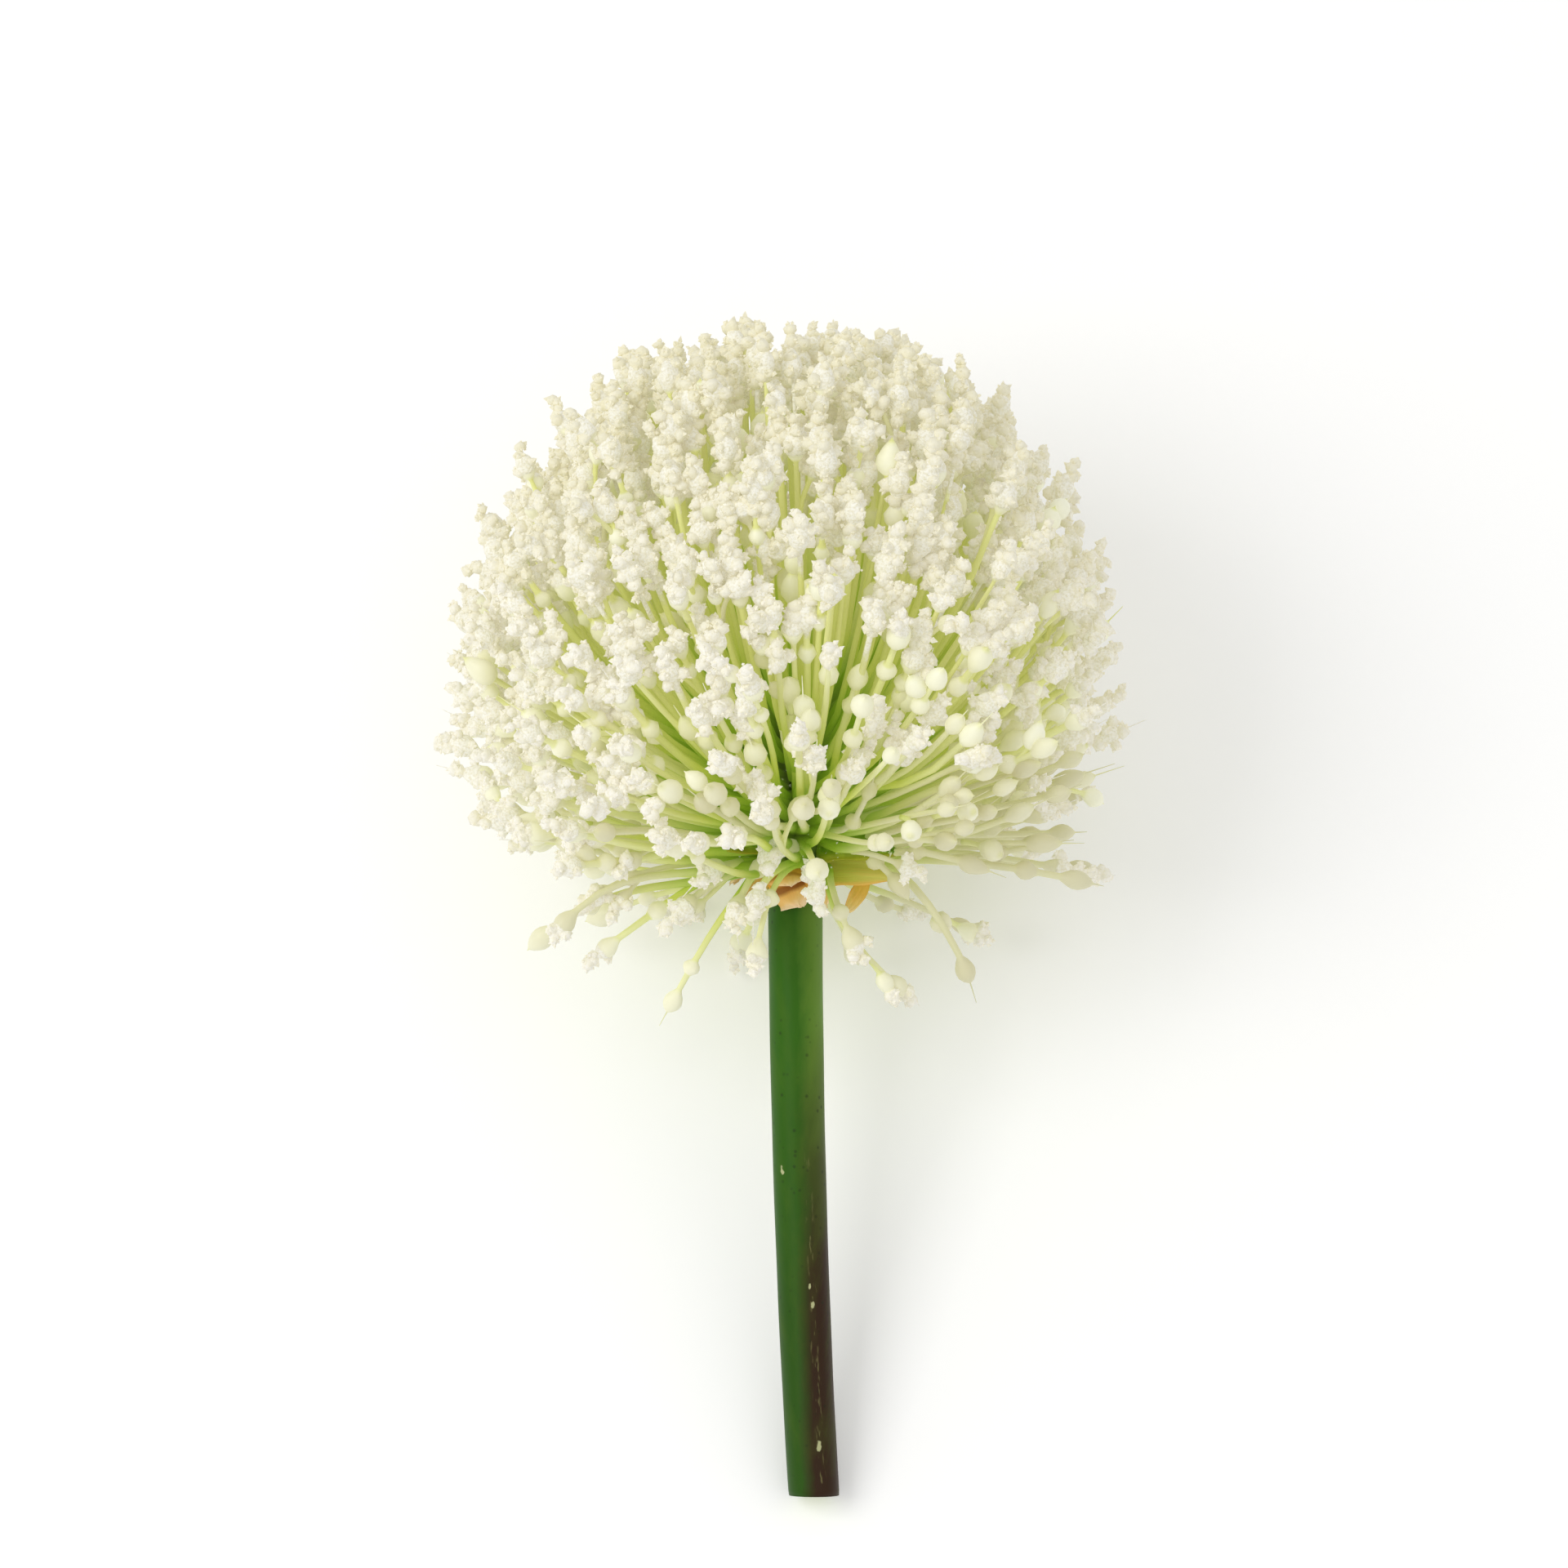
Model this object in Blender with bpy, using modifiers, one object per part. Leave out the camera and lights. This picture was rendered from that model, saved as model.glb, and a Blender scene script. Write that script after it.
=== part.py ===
"""A white allium flower head with a short cut length of its stem, lying on its side.

The flower is laid out standing, as it grows: +Z runs up the stem, -Y is the side that faces the
viewer, and the origin is the middle of the ball of florets. An empty then lays it on the surface
z = 0, where its lowest buds and the rim of the cut end touch. All sizes are in metres.
"""

import math

import bmesh
import bpy
import numpy as np
from mathutils import Matrix, Vector

MM = 0.001
GOLDEN_ANGLE = math.pi * (3 - math.sqrt(5))
SEAT_GAP = 0.3 * MM
SEED = 11

# Ball of florets: its lower edge, the skirt, flares out past the round
BALL_RADIUS = 54 * MM
BALL_LOWEST = math.radians(128)
SKIRT_START = math.radians(92)
SKIRT_FLARE = 0.075
BALL_SPRAYS = 40
BALL_SPRIGS = 236
SHORTEST_REACH = 0.87
REACH_BIAS = 1.6
TURN_JITTER = 0.05

# One sprig: a pedicel that ends in a pointed bud
PEDICEL_ROOT_RADIUS = 0.68 * MM
PEDICEL_MIDDLE_RADIUS = 0.54 * MM
PEDICEL_NECK_RADIUS = 0.46 * MM
PEDICEL_RISE = 0.4
BUD_RADIUS = 2.1 * MM
BUD_LENGTH = 6.6 * MM
BUD_BELLY = 0.4
BUD_TIP_RADIUS = 0.3 * MM

# Foot of a spray, where its pedicels grow together
FOOT_RADIUS = 2.3 * MM
FOOT_TOP_RADIUS = 2.0 * MM
FOOT_THICKNESS = 1.3 * MM
FOOT_SIDES = 8
ROOT_SPREAD = 1.65 * MM
ROOT_SHARE = 0.14

# Receptacle, the swollen top of the stem, a little to the right of the ball's middle
AXIS_X = 1.8 * MM
RECEPTACLE_BOTTOM = -37 * MM
RECEPTACLE_TOP = -4 * MM
RECEPTACLE_BASE_RADIUS = 4.5 * MM
RECEPTACLE_RADIUS = 6.4 * MM
RECEPTACLE_WIDEST = 0.32
RECEPTACLE_DOME_POWER = 2.6
RECEPTACLE_SIDES = 20
RECEPTACLE_RINGS = 15
RING_CROWDING = 1.5

# Shares of the receptacle's side, from the top down, where the sprays sit
LOWEST_BALL_SEAT = 0.78
DROOPING_SEAT = 0.895

# Stem
STEM_TOP_RADIUS = 4.35 * MM
STEM_CUT_RADIUS = 4.05 * MM
STEM_CUT = -134 * MM
STEM_BOW = 3.0 * MM
STEM_STATIONS = 14

# Sprigs that hang below the ball: tips of the buds, in mm right, back and up from the ball's middle
DROOPING_TIPS_MM = (
    ((-18.6, -3.0, -57.0), (-29.8, -8.0, -48.2)),
    ((-40.5, -6.0, -47.0), (-36.0, -16.0, -44.0)),
    ((-5.4, -17.0, -50.0), (4.6, -20.0, -45.0)),
    ((19.4, -5.0, -54.2), (29.6, -2.0, -52.4)),
    ((49.0, -7.0, -36.6), (50.6, 5.0, -35.0)),
    ((31.0, 24.0, -45.0), (22.0, 33.0, -42.0), (12.0, 27.0, -50.0)),
    ((-8.0, 30.0, -49.0), (-21.0, 34.0, -41.0), (-32.0, 25.0, -43.0)),
)

# Spathe bracts: azimuth and width round the stem in degrees, length, and droop in degrees
BRACT_TOP = -37.6 * MM
BRACT_RADIUS = 5.0 * MM
BRACT_THICKNESS = 0.45 * MM
BRACT_TAPER = 0.35
BRACT_TIP_WIDTH = 0.06
BRACTS = {
    "spathe_bract_front": (-96, 84, 7.0 * MM, 66),
    "spathe_bract_right": (12, 60, 15.0 * MM, 24),
    "spathe_bract_back": (128, 70, 10.0 * MM, 42),
}

# Where the ball's middle lies above the surface, and along it from the middle of the whole flower
BALL_HEIGHT = 49.4 * MM
BALL_Y = 37.2 * MM

# Colour and roughness of each material
FINISHES = {
    "stem": ((0.10, 0.22, 0.03), 0.42),
    "receptacle": ((0.13, 0.24, 0.04), 0.55),
    "bract": ((0.62, 0.47, 0.24), 0.6),
    "floret": ((0.80, 0.79, 0.60), 0.45),
}


def material(name):
    """A plain Principled material with one of FINISHES."""
    colour, roughness = FINISHES[name]
    made = bpy.data.materials.new(name)
    made.use_nodes = True
    shader = made.node_tree.nodes["Principled BSDF"]
    shader.inputs["Base Color"].default_value = (*colour, 1)
    shader.inputs["Roughness"].default_value = roughness
    shader.inputs["Metallic"].default_value = 0
    return made


def add_object(name, mesh, collection, parent=None, finish=None):
    made = bpy.data.objects.new(name, mesh)
    collection.objects.link(made)
    made.parent = parent
    if finish:
        mesh.materials.append(finish)
    return made


def lying_down():
    """Matrix from the standing flower to the lying one: up the stem becomes +Y, tilted up a little.

    The tilt is the one that sets the lower rim of the cut end on the surface.
    """
    rim_reach = math.hypot(STEM_CUT, STEM_CUT_RADIUS)
    tilt = math.asin(BALL_HEIGHT / rim_reach) - math.atan2(STEM_CUT_RADIUS, -STEM_CUT)
    turned = Matrix.Rotation(tilt - math.pi / 2, 4, "X")
    return Matrix.Translation((0, BALL_Y, BALL_HEIGHT)) @ turned


def receptacle_radius(share):
    """Radius at a share of the height, from 0 at the base: a sine swell, then a blunt dome."""
    if share < RECEPTACLE_WIDEST:
        swell = math.sin(math.pi / 2 * share / RECEPTACLE_WIDEST)
        return RECEPTACLE_BASE_RADIUS + (RECEPTACLE_RADIUS - RECEPTACLE_BASE_RADIUS) * swell
    along = (share - RECEPTACLE_WIDEST) / (1 - RECEPTACLE_WIDEST)
    return RECEPTACLE_RADIUS * math.sqrt(max(0.0, 1 - along**RECEPTACLE_DOME_POWER))


def receptacle_height(share):
    return RECEPTACLE_BOTTOM + share * (RECEPTACLE_TOP - RECEPTACLE_BOTTOM)


def seat(area_share, azimuth):
    """Point and outward normal on the receptacle, with that share of its side's area above it."""
    shares = np.linspace(1, 0, 400)
    steps = np.arange(len(shares))
    radii = np.array([receptacle_radius(s) for s in shares])
    heights = np.array([receptacle_height(s) for s in shares])
    bands = (radii[1:] + radii[:-1]) * np.hypot(np.diff(radii), np.diff(heights))
    area_above = np.concatenate([[0], np.cumsum(bands)]) / bands.sum()
    place = np.interp(area_share, area_above, steps)
    radius = np.interp(place, steps, radii)
    height = np.interp(place, steps, heights)
    slope_out = np.interp(place, steps, np.gradient(radii))
    slope_up = np.interp(place, steps, np.gradient(heights))
    across = Vector((math.cos(azimuth), math.sin(azimuth), 0))
    outward = (across * -slope_up + Vector((0, 0, slope_out))).normalized()
    return across * radius + Vector((AXIS_X, 0, height)), outward


def golden_spiral(count):
    """Shares of area and azimuths of points spread evenly over a turned surface."""
    order = np.arange(count)
    return zip((order + 0.5) / count, order * GOLDEN_ANGLE)


def ball_direction(area_share, azimuth):
    """Direction from the ball's middle, with that share of the ball's area above it."""
    up = 1 - area_share * (1 - math.cos(BALL_LOWEST))
    level = math.sqrt(1 - up * up)
    return Vector((level * math.cos(azimuth), level * math.sin(azimuth), up))


def ball_reach(direction):
    """Radius of the ball in a direction: even down to SKIRT_START, then growing with the angle."""
    flare = max(0.0, math.acos(direction.z) - SKIRT_START) / (BALL_LOWEST - SKIRT_START)
    return BALL_RADIUS * (1 + SKIRT_FLARE * flare)


def ball_sprays():
    """For each spray of the ball: its seat, its outward normal and the tips of its sprigs."""
    random = np.random.default_rng(SEED)
    middles = [ball_direction(*at) for at in golden_spiral(BALL_SPRAYS)]
    tips = [[] for _ in middles]
    for area_share, azimuth in golden_spiral(BALL_SPRIGS):
        aim = ball_direction(area_share, azimuth + random.uniform(-TURN_JITTER, TURN_JITTER))
        shortfall = (1 - SHORTEST_REACH) * random.random() ** REACH_BIAS
        nearest = max(range(BALL_SPRAYS), key=lambda k: middles[k].dot(aim))
        tips[nearest].append(aim * ball_reach(aim) * (1 - shortfall))
    for (area_share, azimuth), group in zip(golden_spiral(BALL_SPRAYS), tips):
        yield *seat(area_share * LOWEST_BALL_SEAT, azimuth), group


def drooping_sprays():
    """The same for the sprays that hang below the ball, in one ring round the receptacle's base."""
    groups = [[Vector(tip) * MM for tip in tips] for tips in DROOPING_TIPS_MM]
    azimuths = [math.atan2(*reversed(sum(tips, Vector()).xy)) for tips in groups]
    order = sorted(range(len(groups)), key=lambda k: azimuths[k])
    for place, k in enumerate(order):
        turn = azimuths[order[0]] + place * 2 * math.pi / len(groups)
        yield *seat(DROOPING_SEAT, turn), groups[k]


def bud_lowest(tip, axis):
    """Height of the lowest point of a bud with its tip there, pointing along axis."""
    sideways = math.sqrt(max(0.0, 1 - axis.z**2))
    belly = tip - axis * BUD_LENGTH * (1 - BUD_BELLY)
    return min(belly.z - BUD_RADIUS * sideways, tip.z - BUD_TIP_RADIUS * sideways)


def sprig_route(root, outward, tip):
    """Centreline points and radii of one sprig of the lying flower, its bud lifted off the surface.

    The pedicel is a quadratic Bezier curve that leaves its foot along outward, and the bud goes on in
    the direction in which the pedicel ends. A lifted bud points elsewhere, so the lift is repeated.
    """
    for _ in range(4):
        bend = root + outward * PEDICEL_RISE * (tip - root).length
        axis = (tip - bend).normalized()
        tip = tip + Vector((0, 0, max(0.0, -bud_lowest(tip, axis))))
    neck = tip - axis * BUD_LENGTH
    middle = (root + 2 * bend + neck) / 4
    belly = neck + axis * BUD_LENGTH * BUD_BELLY
    radii = (
        PEDICEL_ROOT_RADIUS,
        PEDICEL_MIDDLE_RADIUS,
        PEDICEL_NECK_RADIUS,
        BUD_RADIUS,
        BUD_TIP_RADIUS,
    )
    return (root, middle, neck, belly, tip), radii


def tube_mesh(name, routes, bevel_resolution=0):
    """A mesh of closed tubes, one along each route of points and radii."""
    curve = bpy.data.curves.new(name, "CURVE")
    curve.dimensions = "3D"
    curve.bevel_depth = 1.0
    curve.bevel_resolution = bevel_resolution
    curve.use_fill_caps = True
    for points, radii in routes:
        spline = curve.splines.new("POLY")
        spline.points.add(len(points) - 1)
        for station, point, radius in zip(spline.points, points, radii):
            station.co = (*point, 1)
            station.radius = radius
    holder = bpy.data.objects.new(name, curve)
    bpy.context.scene.collection.objects.link(holder)
    graph = bpy.context.evaluated_depsgraph_get()
    mesh = bpy.data.meshes.new_from_object(holder.evaluated_get(graph))
    bpy.data.objects.remove(holder)
    bpy.data.curves.remove(curve)
    shape = bmesh.new()
    shape.from_mesh(mesh)
    bmesh.ops.remove_doubles(shape, verts=shape.verts, dist=0.001 * MM)
    bmesh.ops.recalc_face_normals(shape, faces=shape.faces)
    shape.to_mesh(mesh)
    shape.free()
    return mesh


def foot_mesh():
    """The foot of a spray: a short tapering prism that stands on its seat."""
    mesh = bpy.data.meshes.new("spray_foot")
    shape = bmesh.new()
    bmesh.ops.create_cone(
        shape,
        cap_ends=True,
        segments=FOOT_SIDES,
        radius1=FOOT_RADIUS,
        radius2=FOOT_TOP_RADIUS,
        depth=FOOT_THICKNESS,
        matrix=Matrix.Translation((0, 0, FOOT_THICKNESS / 2)),
    )
    shape.to_mesh(mesh)
    shape.free()
    return mesh


def root_offsets(to_foot, tips):
    """Where each pedicel rises from the foot: the tips' pattern, scaled down to fit on it."""
    flat = [(to_foot @ tip).xy for tip in tips]
    middle = sum(flat, Vector((0, 0))) / len(flat)
    widest = max((place - middle).length for place in flat)
    scale = min(ROOT_SPREAD / widest, ROOT_SHARE)
    return [(place - middle) * scale for place in flat]


def grow_spray(name, seat_point, outward, tips, parent, collection, finish):
    """One spray: pedicels with buds, joined at a foot that sits just off the receptacle."""
    lying = lying_down()
    turned = outward.to_track_quat("Z", "Y").to_matrix().to_4x4()
    place = Matrix.Translation(seat_point + outward * SEAT_GAP) @ turned
    to_foot = (lying @ place).inverted()
    routes = []
    for tip, offset in zip(tips, root_offsets(place.inverted(), tips)):
        root = lying @ (place @ Vector((*offset, FOOT_THICKNESS / 2)))
        points, radii = sprig_route(root, lying.to_3x3() @ outward, lying @ tip)
        routes.append(([to_foot @ point for point in points], radii))
    spray = add_object(name, tube_mesh(name, routes), collection)
    foot = add_object("foot_of_" + name, foot_mesh(), collection)
    join = spray.modifiers.new("join_foot", "BOOLEAN")
    join.operation = "UNION"
    join.object = foot
    join.use_self = True
    graph = bpy.context.evaluated_depsgraph_get()
    joined = bpy.data.meshes.new_from_object(spray.evaluated_get(graph))
    bpy.data.objects.remove(foot)
    spray.modifiers.clear()
    spray.data = joined
    joined.materials.clear()
    joined.materials.append(finish)
    spray.parent = parent
    spray.matrix_basis = place
    return spray


def stem_x(height):
    """Sideways place of the stem's middle: a parabola that leaves to the right towards the cut."""
    share = (RECEPTACLE_BOTTOM - height) / (RECEPTACLE_BOTTOM - STEM_CUT)
    return AXIS_X + STEM_BOW * share**2


def grow_stem(parent, collection, finish):
    """The stem, a tapering round tube along its bow, cut square at both ends."""
    heights = np.linspace(STEM_CUT, RECEPTACLE_BOTTOM - SEAT_GAP, STEM_STATIONS)
    points = [Vector((stem_x(height), 0, height)) for height in heights]
    radii = np.linspace(STEM_CUT_RADIUS, STEM_TOP_RADIUS, STEM_STATIONS)
    mesh = tube_mesh("stem", [(points, radii)], bevel_resolution=4)
    mesh.shade_smooth()
    mesh.set_sharp_from_angle(angle=math.radians(40))
    return add_object("stem", mesh, collection, parent, finish)


def grow_receptacle(parent, collection, finish):
    """The receptacle, a turned solid: its profile runs from the top down to the middle of the base.

    The rings crowd towards the top, where the dome curves most.
    """
    shares = 1 - np.linspace(0, 1, RECEPTACLE_RINGS) ** RING_CROWDING
    profile = [(receptacle_radius(s), 0, receptacle_height(s)) for s in shares]
    profile.append((0, 0, RECEPTACLE_BOTTOM))
    mesh = bpy.data.meshes.new("receptacle")
    mesh.from_pydata(profile, [(k, k + 1) for k in range(len(profile) - 1)], [])
    made = add_object("receptacle", mesh, collection, parent, finish)
    made.location.x = AXIS_X
    turn = made.modifiers.new("turn", "SCREW")
    turn.steps = turn.render_steps = RECEPTACLE_SIDES
    turn.use_merge_vertices = True
    turn.merge_threshold = 0.01 * MM
    turn.use_smooth_shade = True
    return made


def bract_point(across, along, width, length, droop):
    """A point of a bract that grows towards +X: across from -1 to 1, along from 0 at its base to 1.

    The blade leaves the stem along an arc of the angle droop, is curled round the stem and narrows to
    its tip as a quarter ellipse.
    """
    run = length * math.sin(droop * along) / droop
    fall = length * (1 - math.cos(droop * along)) / droop
    narrowed = math.sqrt(1 - along**2) * (1 - BRACT_TAPER * along) + BRACT_TIP_WIDTH
    turn = across * width / 2 * narrowed
    front = run + BRACT_RADIUS * math.cos(turn)
    return Vector((front, BRACT_RADIUS * math.sin(turn), BRACT_TOP - fall))


def grow_bract(name, azimuth, width, length, droop, parent, collection, finish):
    """A papery bract: a grid bent into a pointed, drooping blade and given its thickness."""
    mesh = bpy.data.meshes.new(name)
    shape = bmesh.new()
    bmesh.ops.create_grid(shape, x_segments=6, y_segments=7, size=1.0)
    for vertex in shape.verts:
        across, along = vertex.co.x, (vertex.co.y + 1) / 2
        vertex.co = bract_point(across, along, math.radians(width), length, math.radians(droop))
    shape.to_mesh(mesh)
    shape.free()
    made = add_object(name, mesh, collection, parent, finish)
    made.location.x = AXIS_X
    made.rotation_euler.z = math.radians(azimuth)
    shell = made.modifiers.new("thickness", "SOLIDIFY")
    shell.thickness = BRACT_THICKNESS
    shell.offset = 0
    return made


def main():
    for old in list(bpy.data.objects):
        bpy.data.objects.remove(old)
    collection = bpy.data.collections.new("allium_flower_head")
    bpy.context.scene.collection.children.link(collection)
    finishes = {name: material(name) for name in FINISHES}
    flower = add_object("flower", None, collection)
    flower.matrix_basis = lying_down()

    grow_stem(flower, collection, finishes["stem"])
    grow_receptacle(flower, collection, finishes["receptacle"])
    for name, shape in BRACTS.items():
        grow_bract(name, *shape, flower, collection, finishes["bract"])
    for kind, sprays in (("floret_spray", ball_sprays()), ("drooping_spray", drooping_sprays())):
        for number, (seat_point, outward, tips) in enumerate(sprays, 1):
            name = f"{kind}_{number:02d}"
            grow_spray(name, seat_point, outward, tips, flower, collection, finishes["floret"])


main()
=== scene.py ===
"""The looks of a white allium flower head that lies on its side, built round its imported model.

Everything is worked out on the flower as it grows, in metres: +Z up the stem, -Y towards the viewer,
the origin in the middle of the ball of florets. lay_down then brings it to where the model lies.
"""

import itertools
import math

import bpy
import numpy as np
from mathutils import Matrix


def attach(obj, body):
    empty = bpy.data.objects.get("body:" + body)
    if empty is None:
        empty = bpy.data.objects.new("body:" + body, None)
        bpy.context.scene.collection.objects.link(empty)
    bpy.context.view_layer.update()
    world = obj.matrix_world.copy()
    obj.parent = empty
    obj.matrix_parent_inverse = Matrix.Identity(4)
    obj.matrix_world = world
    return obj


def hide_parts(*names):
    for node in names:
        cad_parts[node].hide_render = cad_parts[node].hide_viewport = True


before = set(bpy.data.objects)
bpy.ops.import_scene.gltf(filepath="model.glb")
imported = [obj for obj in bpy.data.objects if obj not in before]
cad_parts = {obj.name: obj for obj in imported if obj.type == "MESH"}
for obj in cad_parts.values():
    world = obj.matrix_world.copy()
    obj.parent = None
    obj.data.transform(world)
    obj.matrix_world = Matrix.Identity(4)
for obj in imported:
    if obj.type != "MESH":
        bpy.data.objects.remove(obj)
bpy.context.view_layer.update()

MM = 0.001
GOLDEN_ANGLE = math.pi * (3 - math.sqrt(5))
FLOOR_GAP = 0.1 * MM

# The flower's frame in the row's frame
BALL_HEIGHT = 49.4 * MM
BALL_Y = 37.2 * MM
STEM_CUT = -134 * MM
STEM_CUT_RADIUS = 4.05 * MM
TILT = math.asin(BALL_HEIGHT / math.hypot(STEM_CUT, STEM_CUT_RADIUS)) - math.atan2(
    STEM_CUT_RADIUS, -STEM_CUT
)
BALL_MIDDLE = np.array([0, BALL_Y, BALL_HEIGHT])
UP_STEM = np.array([0, math.cos(TILT), math.sin(TILT)])
TO_VIEWER = np.array([0, -math.sin(TILT), math.cos(TILT)])
FLOWER_AXES = np.array([[1, 0, 0], -TO_VIEWER, UP_STEM])

# Ball of florets
SEED = 11
BALL_RADIUS = 54 * MM
BALL_LOWEST = math.radians(128)
SKIRT_START = math.radians(92)
SKIRT_FLARE = 0.075
BALL_SPRAYS = 40
BALL_SPRIGS = 236
SHORTEST_REACH = 0.87
REACH_BIAS = 1.6
TURN_JITTER = 0.05
WINDOW = np.array([0.1, -0.94, -0.31])
WINDOW_ANGLE = math.radians(31)
HOLLOW_DEPTH = 0.16
HOLLOW_WAVES = np.array([[11.0, 3.0, 7.0], [-5.0, 9.0, 10.0]])

# Shorter sprigs between the model's own: how unevenly they stand and how short they are, and how much
# shorter and fewer in the window
FILLER_SPRIGS = 670
FILLER_TURN = 1.3
FILLER_SHARE_JITTER = 0.006
FILLER_TURN_JITTER = 0.07
FILLER_SHORT = (0.02, 0.2)
FILLER_DROP = 0.17
WINDOW_SHORT = 0.15
WINDOW_THINNING = 0.4

# Receptacle and stem
AXIS_X = 1.8 * MM
RECEPTACLE_BOTTOM = -37 * MM
RECEPTACLE_TOP = -4 * MM
RECEPTACLE_BASE_RADIUS = 4.5 * MM
RECEPTACLE_RADIUS = 6.4 * MM
RECEPTACLE_WIDEST = 0.32
RECEPTACLE_DOME_POWER = 2.6
LOWEST_BALL_SEAT = 0.78
DROOPING_SPRAYS = 7
DROOPING_SEAT = 0.895
DROOPING_START = math.radians(-167.2)
STEM_TOP_RADIUS = 4.35 * MM
STEM_BOW = 3.0 * MM
STEM_STATIONS = 110
STEM_SIDES = 56

# Rings of the stem's cut face: share of its radius, how pithy it is and how far it is sunk in mm
CUT_RINGS = (
    (0.985, 0.0, 0.0),
    (0.95, 0.07, 0.0),
    (0.9, 0.1, 0.1),
    (0.8, 0.2, 0.2),
    (0.6, 0.4, 0.3),
    (0.4, 0.6, 0.35),
    (0.2, 0.8, 0.38),
    (0.02, 0.98, 0.4),
)

# Pale scars on the stem: height, degrees round it and length
STEM_FLECKS = (
    (-82.3 * MM, -130.0, 1.6 * MM),
    (-100.5 * MM, -76.0, 1.0 * MM),
    (-103.6 * MM, -71.0, 1.5 * MM),
    (-126.0 * MM, -72.0, 1.9 * MM),
    (-96.0 * MM, 60.0, 1.4 * MM),
)

# Sprigs that hang below the ball: the seat in their ring, a point passed half way and the tip of the
# bud, in mm to the right, back and up from the ball's middle, and the length of the white coat
DROOPING_SPRIGS = (
    (0, (-9.5, -8.0, -41.5), (-18.6, -3.0, -57.0), 0.0),
    (0, (-17.5, -8.0, -39.0), (-29.8, -8.0, -48.2), 1.6),
    (0, (-11.0, -9.0, -36.5), (-17.6, -13.0, -42.5), 3.5),
    (0, (-9.0, -11.0, -33.5), (-13.6, -17.0, -36.0), 4.0),
    (1, (-23.0, -9.0, -37.5), (-40.5, -6.0, -47.0), 0.0),
    (1, (-22.0, -14.0, -35.5), (-36.0, -16.0, -44.5), 1.4),
    (1, (-19.0, -12.0, -34.0), (-31.5, -12.0, -40.0), 4.5),
    (1, (-6.0, -11.5, -37.0), (-7.6, -14.0, -43.0), 3.0),
    (2, (-1.5, -13.0, -37.0), (-4.6, -17.0, -49.6), 1.5),
    (2, (-2.0, -13.0, -35.0), (-4.8, -17.5, -41.0), 5.0),
    (2, (4.5, -13.0, -34.0), (5.5, -17.0, -40.5), 8.5),
    (2, (-0.6, -12.0, -30.5), (-2.4, -19.0, -34.0), 6.5),
    (3, (9.0, -11.0, -42.5), (19.4, -5.0, -54.2), 0.8),
    (3, (8.0, -11.0, -38.5), (12.0, -12.0, -48.0), 2.0),
    (3, (20.5, -8.0, -37.0), (29.6, -2.0, -52.4), 0.0),
    (3, (14.0, -10.0, -32.5), (19.6, -12.0, -39.0), 0.0),
    (3, (12.0, -12.0, -31.5), (21.6, -14.0, -35.0), 3.5),
    (4, (26.0, -8.0, -33.0), (49.0, -7.0, -36.6), 0.0),
    (4, (27.0, 2.0, -32.5), (50.6, 5.0, -35.0), 2.0),
    (4, (18.0, -12.0, -31.5), (32.5, -14.0, -34.6), 0.0),
    (5, (18.0, 16.0, -39.0), (31.0, 24.0, -45.0), 2.0),
    (5, (12.0, 20.0, -38.0), (22.0, 33.0, -42.0), 4.5),
    (5, (7.0, 17.0, -40.0), (12.0, 27.0, -50.0), 0.0),
    (6, (-4.0, 18.0, -39.0), (-8.0, 30.0, -49.0), 3.0),
    (6, (-12.0, 20.0, -37.0), (-21.0, 34.0, -41.0), 5.0),
    (6, (-18.0, 15.0, -38.0), (-32.0, 25.0, -43.0), 0.0),
)

# Buds and pedicels
PEDICEL_RISE = 0.4
ROOT_RADIUS = 0.7 * MM
PEDICEL_RADIUS = 0.6 * MM
THINNEST = 0.13 * MM
CLOSED_END = 0.05 * MM
FOOT_FADE = 0.12
BUD_RADIUS = 1.8 * MM
BUD_LENGTH = 5.8 * MM
BUD_LOBES = 0.045
BEAD_LENGTH = 4.6 * MM
SHORT_WISP = 0.3 * MM
LONG_WISP = (1.5, 5.0)
TWIG_BACK = (7.0, 17.0)
TWIG_LENGTH = (7.0, 12.0)

# Stations along a bead and a bud as shares of its length, and for each detail the sides of the tube
# and the stations before its bead, or before its bud if it has no bead
FINE_BEAD = (0, 0.14, 0.32, 0.5, 0.68, 0.86, 1)
FINE_BUD = (0, 0.07, 0.18, 0.33, 0.48, 0.62, 0.76, 0.89, 0.97)
PLAIN_BEAD = (0, 0.2, 0.5, 0.8, 1)
PLAIN_BUD = (0, 0.13, 0.32, 0.52, 0.72, 0.9)
SPRIG_DETAILS = {
    "fine": (12, 7, FINE_BEAD, FINE_BUD),
    "plain": (10, 5, PLAIN_BEAD, PLAIN_BUD),
    "twig": (10, 4, PLAIN_BEAD, PLAIN_BUD),
}
MOST_STATIONS, MOST_SIDES = 25, 12

# How the sprigs change down the ball: degrees from its top, and the value there
BEADED_SHARE = ((60, 110), (0.4, 0.6))
LONG_WISP_SHARE = ((80, 100), (0, 0.5))
KHAKI = ((85, 125), (0.0, 0.75))
PALENESS = ((85, 105), (0.85, 0.3))
COATED_SHARE = ((70, 100, 125, 140), (0.97, 0.88, 0.5, 0.25))
COAT_MM = ((30, 80, 125), (9.5, 7.0, 4.0))
SHORT_COAT_SHARE = ((60, 120), (0.15, 0.4))
TWIG_SHARE = ((60, 120), (0.55, 0.4))

# Stand in for the light that passes through the thin wax and crumbs, as shares of their own colour
FLORET_GLOW = 0.16
CRUMB_GLOW = 0.14

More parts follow.
